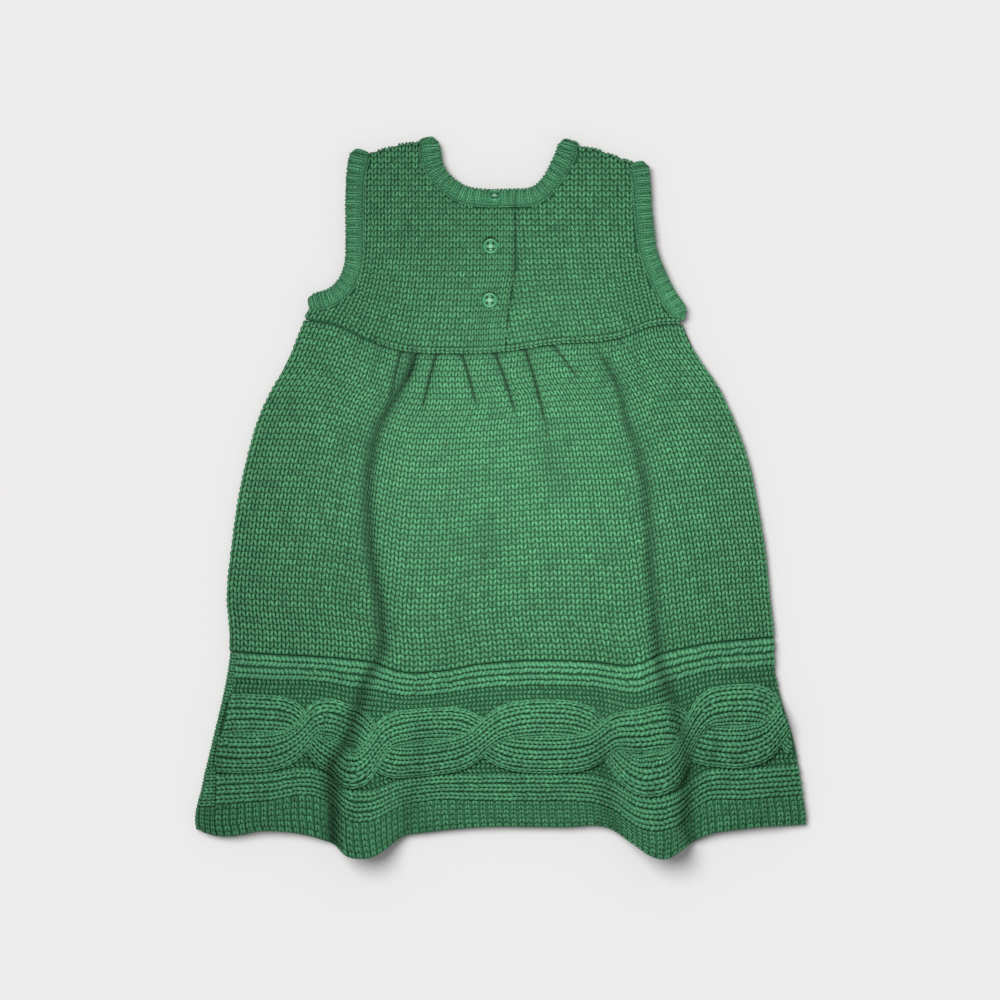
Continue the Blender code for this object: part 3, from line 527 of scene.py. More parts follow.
def spunCotton(name, light, dark):
    # soft spun cotton yarn of two plies: matt with a faint bloom, painted shade down between the
    # stitches and where the shade attribute is high, a little lighter or darker from stitch to
    # stitch, flecked as heathered yarn is
    material, tree, shader = startMaterial(
        name, cotton["roughness"], cotton["specular"], cotton["bloom"], cotton["bloomColour"],
    )
    deep, tone, shade = (
        addNode(tree, "Attribute", output="Fac", attribute_name=key) for key in ("deep", "tone", "shade")
    )
    spot = addNode(tree, "TexCoord", output="Object")
    fleck, cloud = (
        addNode(tree, "TexNoise", {"Vector": spot, "Scale": 1 / (size * mm), "Detail": detail}, "Fac")
        for size, detail in ((cotton["fleck"], 3.0), (cotton["cloud"], 2.0))
    )
    # painted shade between the stitches: the dark colour low in each stitch, the light one at its top
    height = addNode(tree, "Math", [deep, 0.65], operation="POWER")
    colour = addNode(tree, "Mix", {0: height, 6: linear(dark), 7: linear(light)}, 2, data_type="RGBA")
    value = addNode(tree, "Math", [tone, cotton["toneSpread"], 1.0], operation="MULTIPLY_ADD")
    for noise, strength in ((fleck, cotton["fleckStrength"]), (cloud, cotton["cloudStrength"])):
        noise = addNode(tree, "Math", [noise, 0.5], operation="SUBTRACT")
        value = addNode(tree, "Math", [noise, strength, value], operation="MULTIPLY_ADD")
    # painted shade: the yarn darkens where the shade attribute is high, in creases, valleys, under the
    # waist seam, beside the slit and on the bodice
    paintedShadeFactor = addNode(tree, "Math", [shade, cotton["paintedShadeStrength"], 1.0], operation="MULTIPLY_ADD")
    value = addNode(tree, "Math", [value, paintedShadeFactor], operation="MULTIPLY")
    colour = addNode(tree, "HueSaturation", {"Value": value, "Color": colour})
    tree.links.new(colour, shader.inputs["Base Color"])
    # the twist of the plies is a wave that runs along the stitch and round it
    uv = addNode(tree, "UVMap", uv_map="knit")
    along, turn = addNode(tree, "SeparateXYZ", [uv]).node.outputs[:2]
    turn = addNode(tree, "Math", [turn, cotton["pliesRound"]], operation="MULTIPLY")
    plies = addNode(tree, "Math", [along, cotton["pliesAlong"], turn], operation="MULTIPLY_ADD")
    plies = addNode(tree, "Math", [plies, 2 * np.pi], operation="MULTIPLY")
    plies = addNode(tree, "Math", [plies], operation="SINE")
    relief = addNode(tree, "Math", [plies, cotton["plyRelief"], fleck], operation="MULTIPLY_ADD")
    bump = addNode(tree, "Bump", {"Height": relief, "Strength": 0.35, "Distance": 0.3 * mm})
    tree.links.new(bump, shader.inputs["Normal"])
    return material


def knitGround(name, light, dark, depth):
    # the same yarn where no stitch stands over it: a V in each cell of the piece's own UV grid,
    # its two legs a little wider apart the higher they come, each rounded as a half circle is;
    # the gaps between the legs take the dark colour as painted shade
    material, tree, shader = startMaterial(name, 0.85, 0.2, 0.2, cotton["bloomColour"])
    uv = addNode(tree, "UVMap", uv_map="knit")
    u, v = (
        addNode(tree, "Math", [part], operation="FRACT")
        for part in addNode(tree, "SeparateXYZ", [uv]).node.outputs[:2]
    )
    off = addNode(tree, "Math", [u, 0.5], operation="SUBTRACT")
    off = addNode(tree, "Math", [off], operation="ABSOLUTE")
    line = addNode(tree, "Math", [v, cotton["legSpread"], cotton["legLow"]], operation="MULTIPLY_ADD")
    off = addNode(tree, "Math", [off, line], operation="SUBTRACT")
    off = addNode(tree, "Math", [off, cotton["legHalf"]], operation="DIVIDE")
    off = addNode(tree, "Math", [off, off], operation="MULTIPLY")
    legs = addNode(tree, "Math", [1.0, off], operation="SUBTRACT", use_clamp=True)
    legs = addNode(tree, "Math", [legs, 0.5], operation="POWER")
    spot = addNode(tree, "TexCoord", output="Object")
    noise = {"Vector": spot, "Scale": 1 / (cotton["fleck"] * mm), "Detail": 3.0}
    fleck = addNode(tree, "TexNoise", noise, "Fac")
    fleck = addNode(tree, "Math", [fleck, 0.5], operation="SUBTRACT")
    value = addNode(tree, "Math", [fleck, 0.5, 1.0], operation="MULTIPLY_ADD")
    # painted shade: the gaps between the legs take the dark colour
    colour = addNode(tree, "Mix", {0: legs, 6: linear(dark), 7: linear(light)}, 2, data_type="RGBA")
    colour = addNode(tree, "HueSaturation", {"Value": value, "Color": colour})
    tree.links.new(colour, shader.inputs["Base Color"])
    bump = addNode(tree, "Bump", {"Height": legs, "Strength": 1.0, "Distance": depth * mm})
    tree.links.new(bump, shader.inputs["Normal"])
    return material


yarn = spunCotton("spun cotton yarn, stocking stitch", "5AA171", "1F6236")
# a darker copy of the yarn: painted shade on the purls that lie recessed beside the cable
shadedPurlYarn = spunCotton("spun cotton yarn, purl side, painted shade", "52976A", "215B37")
borderYarn = spunCotton("spun cotton yarn, sideways knit", "5DA778", "27673F")
ribYarn = spunCotton("spun cotton yarn, rib", "589F72", "2A6D45")
# the grounds under the stitches have darker colours than their yarns: painted shade down between the
# stitches
ribGround = knitGround("knit ground under the ribs", "4A9266", "34764F", 0.3)
ground = knitGround("knit ground under the stitches", "397B53", "245B3B", 0.4)
plainKnit = knitGround("knit of the hidden front", "4F9266", "1A4F2C", 0.8)
print("yarns and knit grounds made")


def place(piece, material, node=()):
    # every piece rides on the one body; a cloth shell replaces its CAD nodes
    piece.data.materials.append(material)
    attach(piece, "root")
    if node:
        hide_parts(*node)
    return piece


skirt = dict(
    wales=70, courses=56, gauge=4.75,     # stitches across and down, and the width of one
    parts=(0, 24, 47, 70),                # wales at which the stitches are split into pieces
    ground=1.0, groundDepth=0.35,         # thickness of the shell, and its depth under the bed
    frontTop=2.9, frontThick=2.85,
    flat=(0.345, 0.190),                  # metres, the same for the back and the front
)


def spanPlan(top, bottom, shares, t, leftEdge, bottomInset=cloth["seam"]):
    # plan points between two seams: share down and t across; x and y depend on each other, so
    # they are worked out in turns until they settle
    x = np.broadcast_to(-170 + 340.0 * t, (len(shares), len(t)))
    for _ in range(8):
        high = follow(top, "x", "y", x) - cloth["seam"]
        y = high + (follow(bottom, "x", "y", x) + bottomInset - high) * shares[:, None]
        x = leftEdge(y) + (sideAt(y, "right") - leftEdge(y)) * t
    return x, y


def byLength(points, wales, columns, gauge=None, crowding=None):
    # the same rows with columns evenly spaced in stitches: every stitch keeps its gauge, and
    # the stitches that are left over crowd in where the crowding is high
    steps = np.linalg.norm(np.diff(points, axis=1), axis=2)
    run = np.pad(np.cumsum(steps, axis=1), ((0, 0), (1, 0)))
    if gauge is None:
        number = run / run[:, -1:] * wales
    else:
        crowd = np.cumsum(steps * (crowding[:, 1:] + crowding[:, :-1]) / 2, axis=1)
        crowd = np.pad(crowd, ((0, 0), (1, 0)))
        number = run / gauge + crowd * (wales - run[:, -1:] / gauge) / crowd[:, -1:]
        number = np.maximum.accumulate(number, axis=1)
    at = np.linspace(0, wales, columns)
    return np.stack([between(line, row, at) for row, line in zip(number, points)])


def makeSkirt():
    # a grid from the waist to the border, over the folds; the wales keep their width near the
    # sides, and those that are left over crowd together in the middle
    wales, courses = skirt["wales"], skirt["courses"]
    shares = np.linspace(0, 1, 2 * courses + 1)
    x, y = spanPlan(waist, borderTop, shares, np.linspace(0, 1, 1000), sideLeft)
    z = backTop(x, y) - cloth["bed"]
    crowding = ease((x + 112) / 40) * ease((122 - x) / 40)
    points = byLength(np.stack([x, y, z], -1), wales, 6 * wales + 1, skirt["gauge"], crowding)
    knit = clothMap(points, (2, 6))
    under = (knit["points"] - skirt["groundDepth"] * knit["normals"])[:, ::2]
    base = clothShell("skirtBackGround", under, skirt["ground"], (wales, courses))
    place(base, ground, ["skirt_back"])
    shape = vStitch(low=0.68, high=-0.68)
    for part, (first, last) in enumerate(zip(skirt["parts"][:-1], skirt["parts"][1:]), 1):
        u, v = np.meshgrid(np.arange(first, last) + 0.5, np.arange(courses) + 0.5)
        piece = stitches(f"skirtBackStitches{part}", knit, u.ravel(), v.ravel(), shape)
        place(piece, yarn)
    print("back skirt:", wales * courses, "stitches")


def makeSkirtFront():
    # level top with a rounded underside; the back lies on it
    near = np.linspace(0, 0.02, 4)
    t = np.concatenate([near[:-1], np.linspace(0.02, 0.98, 60), 1 - near[-2::-1]])
    x, y = spanPlan(frontWaist, frontBorderTop, np.linspace(0, 1, 12), t, sideLeft)
    edge = np.minimum(x - sideAt(y, "left"), sideAt(y, "right") - x)
    top = np.stack([x, y, np.full_like(x, skirt["frontTop"])], -1)
    thick = (skirt["frontThick"] * rounding(edge))[..., None]
    made = clothShell("skirtFront", top, thick, (skirt["wales"], skirt["courses"]), straightDown)
    place(made, plainKnit, ["skirt_front"])
    print("front skirt laid")


border = dict(
    courses=136, rows=26,        # stitches along it, and cells of its grid across it
    rails=((0.01, 0.175), (0.81, 0.99)), railRise=1.1,    # shares of its height, from the top
    railWales=((0.004, 0.178, 2), (0.807, 0.994, 3)),     # from, to and number of wales
    railStitch=dict(low=0.78, high=-0.78, inner=0.1, outer=0.36, width=0.22),
    purlRows=20, purlFrom=0.19, purlSpan=0.62, purlLean=0.26, purlClear=1.5,
    groundBed=1.5, groundCable=0.93, groundThick=0.8,     # the shell that swells under the cable
    flat=(0.40, 0.092),
)
cable = dict(
    middle=0.535, swing=0.13, half=0.135, blunt=1.5,      # shares of the border's height
    rise=3.6, crossingRise=1.5, wales=5, stitch=3.05, roundness=0.86,
    pastLeft=5.5, pastRight=3.0,      # how far a strand's line is followed past the sides
    insetLeft=0.4, insetRight=1.2,    # how far inside them its stitches stay
    squash=1.6,                       # a stitch that would be pushed in further is left out
)
# half turns of the rope: where along the border the strands have turned how far
crossings = table(
    "x turn",
    (-192, -0.42), (-122, 0.5), (-78, 1.5), (-11, 2.5), (65, 3.5), (118, 4.5), (175, 5.5), (192, 5.8),
)


def strandAt(x, sign):
    # share of the height at which a strand's middle lies, and how high it stands: half turns of
    # a wave with blunt crests, and a quarter turn later the rise over or under the other strand
    angle = np.pi * follow(crossings, "x", "turn", x)
    swing = cable["swing"] * np.tanh(cable["blunt"] * np.cos(angle)) / np.tanh(cable["blunt"])
    return cable["middle"] - sign * swing, cable["rise"] - sign * cable["crossingRise"] * np.sin(angle)


def cableRise(x, share):
    # the higher of two half rounds, one over each strand
    rise = np.zeros_like(x)
    for sign in (1, -1):
        middle, top = strandAt(x, sign)
        offset = (share - middle) / cable["half"]
        rise = np.maximum(rise, top * np.sqrt(np.maximum(1 - offset ** 2, 0)))
    return rise


def railRise(share):
    # a flat round over each rail
    rise = np.zeros_like(share)
    for low, high in border["rails"]:
        t = np.clip((share - low) / (high - low), 0, 1)
        rise = rise + border["railRise"] * np.sqrt(np.maximum(1 - (2 * t - 1) ** 4, 0))
    return rise


def borderPlace(x, share):
    # plan y of a share of the border's height at x
    high = follow(borderTop, "x", "y", x) - cloth["seam"]
    return high + (follow(hemTop, "x", "y", x) + cloth["seam"] - high) * share


def strandMap(sign):
    # across the wales and along a strand: the offset from its middle is square to its own line,
    # and the height over it is a half round
    x = np.linspace(-186, 189.5, 1500)
    middle, top = strandAt(x, sign)
    y = borderPlace(x, middle)
    good = (x > wrappedLeft(y) - cable["pastLeft"]) & (x < sideAt(y, "right") + cable["pastRight"])
    x, y, top = x[good], y[good], top[good]
    run = runAlong(np.column_stack([x, y, backTop(x, y, roundLeft=False)]))
    count = round(run[-1] / cable["stitch"])
    x, y, top = between(np.column_stack([x, y, top]), run, np.linspace(0, run[-1], 2 * count + 1)).T
    heading = headingAlong(np.column_stack([x, y]))
    half = cable["half"] * (borderPlace(x, 0.0) - borderPlace(x, 1.0)) * heading[:, 0]
    turn = np.linspace(-1, 1, 2 * cable["wales"] + 1) * np.pi / 2 * cable["roundness"]
    offset = np.sin(turn)[:, None]
    px = x + offset * half * heading[:, 1]
    py = y - offset * half * heading[:, 0]
    kept = np.clip(px, wrappedLeft(py) + cable["insetLeft"], sideAt(py, "right") - cable["insetRight"])
    clear = np.abs(px - kept)[1::2, 1::2] < cable["squash"]
    pz = backTop(kept, py, roundLeft=False) + top * np.sqrt(1 - offset ** 2) - cloth["bed"]
    return clothMap(np.stack([kept, py, pz], -1), 2), count, clear


def makeBorderGround():
    # the border's grid over the folds: a level map that rails and purls lie on, and a shell that
    # rises under the cable too and is closed just above the front
    wide, rows = border["courses"], border["rows"]
    shares = np.linspace(0, 1, 2 * rows + 1)
    x, y = spanPlan(borderTop, hemTop, shares, np.linspace(0, 1, 900), wrappedLeft)
    share = shares[:, None] * np.ones_like(x)
    plain = backTop(x, y, roundLeft=False)
    level = plain - cloth["bed"] + railRise(share)
    knit = clothMap(byLength(np.stack([x, y, level], -1), wide, 2 * wide + 1), 2)
    swollen = plain - border["groundBed"] + railRise(share) + border["groundCable"] * cableRise(x, share)
    top = byLength(np.stack([x, y, swollen], -1), wide, 2 * wide + 1)
    below = backBase + np.maximum(foldHeight(top[..., 0], top[..., 1]), 0) + 0.2
    thick = np.maximum(top[..., 2] - below, border["groundThick"])[..., None]
    base = clothShell("borderBackGround", top, thick, (wide, rows), straightDown)
    return place(base, ground, ["border_back_left", "border_back_right"]), knit


def layRails(knit):
    # wales of sideways stitches side by side in each rail
    wide, rows = border["courses"], border["rows"]
    wales = [
        (low + (high - low) * (wale + 0.5) / count, (high - low) / count)
        for low, high, count in border["railWales"] for wale in range(count)
    ]
    middle, height = np.array(wales).T * rows
    u = np.tile(np.arange(wide) + 0.5, len(wales))
    shape = vStitch(**border["railStitch"])
    across = np.repeat(height, wide)
    piece = stitches("borderRails", knit, u, np.repeat(middle, wide), shape, across=across, sideways=True)
    return place(piece, borderYarn)


def layStrand(number, sign):
    knit, count, clear = strandMap(sign)
    u, v = np.meshgrid(np.arange(count) + 0.5, np.arange(cable["wales"]) + 0.5)
    shape = vStitch(**border["railStitch"])
    piece = stitches(f"cableStrand{number}", knit, u[clear], v[clear], shape, sideways=True)
    return place(piece, borderYarn)


def layPurls(knit):
    # purl bars beside the cable, leaning one way in even rows and the other way in odd ones
    wide, rows, purlRows = border["courses"], border["rows"], border["purlRows"]
    u, row = np.meshgrid(np.arange(wide) + 0.5, np.arange(purlRows))
    v = (border["purlFrom"] + border["purlSpan"] * row / (purlRows - 1)) * rows
    spot = onMap(knit, u, v, np.zeros_like(u))
    clear = cableRise(spot[..., 0], v / rows) < border["purlClear"]
    pieces = []
    for odd, lean in enumerate((border["purlLean"], -border["purlLean"])):
        bar = leg((-lean, -0.5), (lean, 0.5), 0.38, 0.8)
        at = clear & (row % 2 == odd)
        name = f"borderPurls{odd + 1}"
        piece = stitches(name, knit, u[at], v[at], bar, up=-0.05, unevenness=0.12)
        pieces.append(place(piece, shadedPurlYarn))
    return pieces


def makeBorder():
    base, knit = makeBorderGround()
    pieces = [layRails(knit), layStrand(1, 1), layStrand(2, -1), *layPurls(knit)]
    print("back border:", len(pieces), "pieces of stitches")


borderWrap = dict(
    front="borderFront", stitches="borderWrapStitches", node="border_front", slot="cable_knit",
    yarn=borderYarn, flat=border["flat"], cells=(110, 25), rows=40, courses=24,
    sideways=True, stitch=border["railStitch"],
)
hemWrap = dict(
    front="hemFront", stitches="hemWrapRibs", node="hem_rib_front", slot="rib_knit",
    yarn=ribYarn, flat=(0.40, 0.017), cells=(88, 6), rows=8, courses=6,
    sideways=False, stitch=dict(inner=0.12, outer=0.24, width=0.19),
)
wrapped = dict(
    wales=5, halfOnFloor=1.45, halfOver=1.2,   # half thicknesses, along the floor and over
    lift=0.6,                                  # the stitches' map over the middle of the cloth
)


def makeWrappedFront(part, top, bottom):
    # the front of the border or the hem: along the floor from the right, round the left fold in
    # half a circle, and over the back as far as the photo shows it
    bend, half = backBase / 2, cloth["wall"] / 2
    shares = np.linspace(0, 1, part["rows"])
    t = np.concatenate([np.linspace(0, 0.98, 50), np.linspace(0.98, 1, 5)[1:]])
    x, y = spanPlan(top, bottom, shares, t, sideLeft, 0.0)
    turnX = sideAt(y[:, :1], "left") + bend + half
    x, y = np.maximum(x, turnX)[:, ::-1], y[:, ::-1]
    angles = np.linspace(0, np.pi, 9)[1:] + np.zeros((part["rows"], 1))
    lip = np.linspace(0, 1, 6)[1:] + np.zeros((part["rows"], 1))
    endY = y[:, -1:]
    overX = turnX + (follow(wrap, "y", "width", endY) - bend - wrapped["halfOver"]) * lip
    high = follow(top, "x", "y", overX) - cloth["seam"]
    overY = high + (follow(bottom, "x", "y", overX) - high) * shares[:, None]
    line = np.concatenate([x, turnX - bend * np.sin(angles), overX], axis=1)
    depth = np.concatenate([y, endY + 0 * angles, overY], axis=1)
    rise = np.concatenate([0 * x, bend * (1 - np.cos(angles)), 2 * bend + 0 * lip], axis=1) + half
    outX = np.concatenate([0 * x, -np.sin(angles), 0 * lip], axis=1)
    outZ = np.concatenate([0 * x - 1, -np.cos(angles), 0 * lip + 1], axis=1)
    middle = np.stack([line, depth, rise], -1)
    outward = np.stack([outX, 0 * outX, outZ], -1)
    onFloor = wrapped["halfOnFloor"] * rounding(sideAt(depth, "right") - line)
    thick = np.where(outZ < -0.99, onFloor, wrapped["halfOver"])[..., None]
    made = clothShell(part["front"], middle + outward * thick * 0.75, 1.75 * thick, part["cells"], -outward)
    place(made, plainKnit, [part["node"]])

    # a few wales of stitches on what is seen of it, from the fold to its end on top
    wales, courses = wrapped["wales"], part["courses"]
    seen = (middle + outward * wrapped["lift"])[:, x.shape[1] - 1:]
    knit = clothMap(byLength(seen, wales, 2 * wales + 1), 2, np.array([-0.2, 0.0, 1.0]))
    span = (part["rows"] - 1) / 2
    u, v = np.meshgrid(np.arange(wales) + 0.5, (np.arange(courses) + 0.5) * span / courses)
    size = dict(across=span / courses) if part["sideways"] else dict(along=span / courses)
    shape = vStitch(**part["stitch"])
    piece = stitches(part["stitches"], knit, u.ravel(), v.ravel(), shape, sideways=part["sideways"], **size)
    place(piece, part["yarn"])
    print(part["front"], "laid and wrapped over")


def smoothPath(route, count):
    # evenly spaced points on a smooth curve through the given ones
    points = np.stack([route["x"], route["y"]], -1)
    rows = dict(route, s=runAlong(points))
    fine = np.linspace(0, rows["s"][-1], 400)
    return even(np.stack([follow(rows, "s", "x", fine), follow(rows, "s", "y", fine)], -1), count)


bands = dict(
    width=11.0, wider=2.0, widerFrom=194,    # a band widens a little where it turns over
    ribPitch=5.4, skin=1.5, seam=4.7, foldReach=3.45,
    corner=6.2, cornerEdge=0.9, cornerReach=14,
    crown=1.3, stitchDown=0.05, turnReach=3.5,
)
# x and y of the middle of each band, as laid out
neckBackLeft = table(
    "x y",
    (10.1, 187), (-12, 187), (-23, 189), (-31, 193.5), (-38, 200), (-42.6, 207.5), (-44.5, 214.5),
    (-45.3, 221.8),
)
neckBackRight = table(
    "x y",
    (43, 220.5), (41, 214), (37.5, 207), (33, 199.5), (28, 193), (21.5, 188.5), (15, 187.1),
    (9.8, 187),
)
neckFront = table(
    "x y",
    (-45.3, 221.8), (-42.5, 207), (-38.5, 191), (-30, 177), (-17, 167.5), (-2, 164.5),
    (13, 167.5), (26, 177), (35, 191), (40, 207), (43, 220.5),
)
armLeft = table(
    "x y",
    (-87.5, 214), (-90, 203), (-91, 186), (-91, 160), (-91.5, 147), (-96, 134),
    (-102.3, 126.9), (-108, 123.8), (-113.5, 122.3), (-117.3, 121.5),
)
armRight = table(
    "x y",
    (86.4, 206.6), (87.6, 198), (88.5, 182), (90, 168), (92, 154), (97, 140.5),
    (102.6, 128.6), (107.2, 121.4), (110, 117.4), (111.7, 113.6),
)
slit = table("x y", (3, 90.5), (3.4, 106), (5.3, 120), (9, 142), (9, 160), (9, 182.3))


def bandLeg(path, level, side=1):
    # middle, width direction and outward direction along one layer of a band, and its heading
    heading = headingAlong(path)
    turn = 1.0 if level > 0 else -1.0
    height = cloth["wall"] / 2 + (backBase if level > 0 else 0.0)
    middle = np.column_stack([path, np.full(len(path), height)])
    width = side * turn * np.column_stack([heading[:, 1], -heading[:, 0], np.zeros(len(path))])
    return middle, width, np.tile([0.0, 0.0, turn], (len(path), 1)), heading


def bandFold(point, heading, width, downwards):
    # half a circle over the edge, from one layer to the other
    bend = backBase / 2
    angles = np.linspace(0, np.pi, 10)[1:-1, None]
    turn = 1.0 if downwards else -1.0
    outward = np.sin(angles) * np.append(heading, 0.0) - turn * np.cos(angles) * straightDown
    middle = np.append(point, cloth["wall"] / 2 + bend) + bend * outward
    return middle, np.tile(width, (len(angles), 1)), outward


def halfWidth(y):
    return bands["width"] / 2 + bands["wider"] / 2 * ease((y - bands["widerFrom"]) / 22)


def bandLine(parts, closed):
    # the parts of a band joined to one line, six points to a rib
    middle, width, outward = (np.concatenate([part[i] for part in parts]) for i in range(3))
    if closed:
        middle, width, outward = (np.concatenate([a, a[:1]]) for a in (middle, width, outward))
    run = runAlong(middle)
    ribs = round(run[-1] / bands["ribPitch"])
    at = np.linspace(0, run[-1], 6 * ribs + 1)
    turning = np.abs(outward[:, 2]) < 0.99
    rounded = np.exp(-((at[:, None] - run[turning][None]) / bands["turnReach"]) ** 2).max(axis=1)
    # in plan the outer corner of each fold is rounded: the outer edge draws in near the tip
    places = between(middle[:, :2], run, at)
    drawn = np.zeros(len(at))
    for tip in np.flatnonzero(np.abs(outward[:, 2]) < 0.18):
        ahead = ((middle[tip, :2] - places) * outward[tip, :2]).sum(axis=1)
        near = np.abs(at - run[tip]) < bands["cornerReach"]
        inside = np.clip(bands["corner"] - bands["cornerEdge"] - ahead, 0, bands["corner"] * 0.98)
        drawn = np.maximum(drawn, near * (bands["corner"] - np.sqrt(bands["corner"] ** 2 - inside ** 2)))
    middle, width, outward = (between(a, run, at) for a in (middle, width, outward))
    outward /= np.linalg.norm(outward, axis=1)[:, None]
    return dict(
        middle=middle, width=width, outward=outward, half=halfWidth(middle[:, 1]), drawn=drawn,
        rounded=rounded, ribs=ribs, rib=at / run[-1] * ribs,
    )


def acrossBand(band, w):
    # distance from the middle line, for the share w of the half width
    inner = w * band["half"] * (1 - 0.1 * band["rounded"])
    return np.where(w > 0, w * (band["half"] - band["drawn"]), inner)


def bandShell(name, band, closed):
    # a flat oval section carried along the line; an open band is closed by a fan at each end
    section = np.array([
        (-0.94, -0.9), (-0.97, -0.2), (-0.9, 0.35), (-0.6, 0.62), (0.0, 0.7),
        (0.6, 0.62), (0.9, 0.35), (0.97, -0.2), (0.94, -0.9), (0.0, -0.95),
    ])
    spread = acrossBand(band, section[:, :1]).T[:, :, None]
    rise = section[:, 1:] * bands["skin"] * band["outward"][:, None]
    rings = band["middle"][:, None] + spread * band["width"][:, None] + rise
    if closed:
        rings = rings[:-1]
    count, around = rings.shape[:2]
    n = np.arange(count * around).reshape(count, around)
    after = np.roll(n, -1, axis=0)
    if not closed:
        n, after = n[:-1], after[:-1]
    quads = np.stack([n, np.roll(n, -1, axis=1), np.roll(after, -1, axis=1), after], -1).reshape(-1, 4)
    faces = np.concatenate([quads[:, [0, 1, 2]], quads[:, [0, 2, 3]]])
    points = rings.reshape(-1, 3)
    if not closed:
        ends = [np.arange(around), np.arange((count - 1) * around, count * around)[::-1]]
        fan = [np.stack([np.full(around - 2, e[0]), e[2:], e[1:-1]], -1) for e in ends]
        faces = np.concatenate([faces, *fan])
    faces = turnedOut(points - points.mean(axis=0), faces)
    uv = np.meshgrid(np.linspace(0, 4, around), np.linspace(0, band["ribs"], count))
    return addMesh(name, points, faces, np.stack(uv, -1).reshape(-1, 2))


def bandStitches(name, band):
    # on a map that rolls over both edges of the band: two long strands across it for each rib,
    # purl bumps between the ribs, and a row of loops at the seam
    ribs = band["ribs"]
    turn = np.linspace(-1.35, 1.85, 37)
    w = np.sign(turn) * np.abs(np.sin(turn)) ** 0.8
    crown = bands["crown"] * np.sign(np.cos(turn)) * np.abs(np.cos(turn)) ** 0.5
    across = acrossBand(band, w[:, None])[..., None] * band["width"]
    surface = band["middle"] + across + crown[:, None, None] * band["outward"]
    knit = clothMap(surface, 6, band["outward"][None])

    middles = np.arange(ribs) + 0.5
    strand = joined(*(leg((x, -1.9), (x, 3.4), 0.13, 0.75, rings=9) for x in (0.14, -0.14)))
    rib = stitches(name + "Ribs", knit, middles, np.full(ribs, 2.8), strand)

    u, v = np.meshgrid(np.arange(2 * ribs), np.arange(10))
    u = (u // 2 + 0.38 * (u % 2) - 0.19) % ribs
    v = 1.0 + 0.5 * v + 0.2 * (np.round(u) % 2)
    bump = leg((0, -0.3), (0, 0.3), 0.1, 0.62)
    down = -bands["stitchDown"]
    purls = stitches(name + "Purls", knit, u.ravel(), v.ravel(), bump, up=down, unevenness=0.1)

    loop = vStitch(inner=0.04, outer=0.15, width=0.09, thick=0.75, low=-0.5, high=0.55)
    u = np.concatenate([middles + shift for shift in (-0.375, -0.125, 0.125, 0.375)])
    u = u[np.interp(u, band["rib"], band["rounded"]) < 0.25]
    loops = stitches(name + "Loops", knit, u, np.full(len(u), 0.5), loop, unevenness=0.08)
    return [place(piece, ribYarn) for piece in (rib, purls, loops)]


def makeBand(name, parts, closed, node):
    band = bandLine(parts, closed)
    base = place(bandShell(name, band, closed), ribGround, [node])
    pieces = bandStitches(name, band)
    print(name, band["ribs"], "ribs")


def makeNeckBand():
    # from the slit to the left shoulder, over it, round the front, and back over the right one
    left, right, front = (
        smoothPath(route, count)
        for route, count in ((neckBackLeft, 60), (neckBackRight, 60), (neckFront, 90))
    )
    leftLeg, rightLeg, frontLeg = bandLeg(left, 1), bandLeg(right, 1), bandLeg(front, 0)
    parts = [
        leftLeg,
        bandFold(left[-1], leftLeg[3][-1], leftLeg[1][-1], True),
        frontLeg,
        bandFold(front[-1], frontLeg[3][-1], frontLeg[1][-1], False),
        rightLeg,
    ]
    makeBand("neckBand", parts, False, "neck_band")


def makeArmBand(name, route, side, node):
    # a closed loop: down the back layer, under it and up again; side turns its outer edge
    path = smoothPath(route, 80)
    top, under = bandLeg(path, 1, side), bandLeg(path[::-1], 0, side)
    parts = [
        top,
        bandFold(path[-1], top[3][-1], top[1][-1], True),
        under,
        bandFold(path[0], -top[3][0], top[1][0], False),
    ]
    makeBand(name, parts, True, node)


bodice = dict(
    leftGauge=4.3, rightGauge=4.95, courseHeight=3.55, rows=38,
    placketWidth=21.0, placketRise=1.2, placketWales=6, placketGauge=3.6,
    puff=1.0, puffReach=28, roll=2.4,
    seamSink=0.7, seamReach=2.5,      # how deep and how far the knit dips beside bands and waist
    placketEase=9, slitSink=0.5, slitReach=1.5, underSink=0.6, underReach=5,
    hollow=0.8, hollowSpread=45,      # depth beside a button, and its spread in square mm
    groundBed=1.45, ground=1.5, groundGauge=4.6, groundRows=34,
    frontTop=2.95, frontThick=2.9,
)
panels = dict(
    bodiceLeft=dict(left=True, node="bodice_back_left", columns=33, flat=(0.135, 0.130)),
    bodiceRight=dict(left=False, node="bodice_back_right", columns=29, flat=(0.120, 0.125)),
)
# how the wales fan out on their way from the neck to the waist, on each side of the slit
fan = dict(
    wales=40, halfWidth=87.5, straight=26,      # beside the slit they follow it
    left=16.2, leftFrom=167, leftOver=72,
    right=10.0, rightFrom=185.6, rightOver=90.6, rightFirst=4,
)
# places where the cloth is held down beside a button
buttonHollows = ((-6.2, 156.9), (-6.8, 123.1))


def patch(bottom, top, left, right):
    # points between four edge curves that meet at the corners (a Coons patch)
    u = np.linspace(0, 1, len(bottom))[None, :, None]
    v = np.linspace(0, 1, len(left))[:, None, None]
    across = (1 - v) * bottom[None] + v * top[None]
    along = (1 - u) * left[:, None] + u * right[:, None]
    lowCorners = (1 - v) * ((1 - u) * bottom[0] + u * bottom[-1])
    return across + along - lowCorners - v * ((1 - u) * top[0] + u * top[-1])


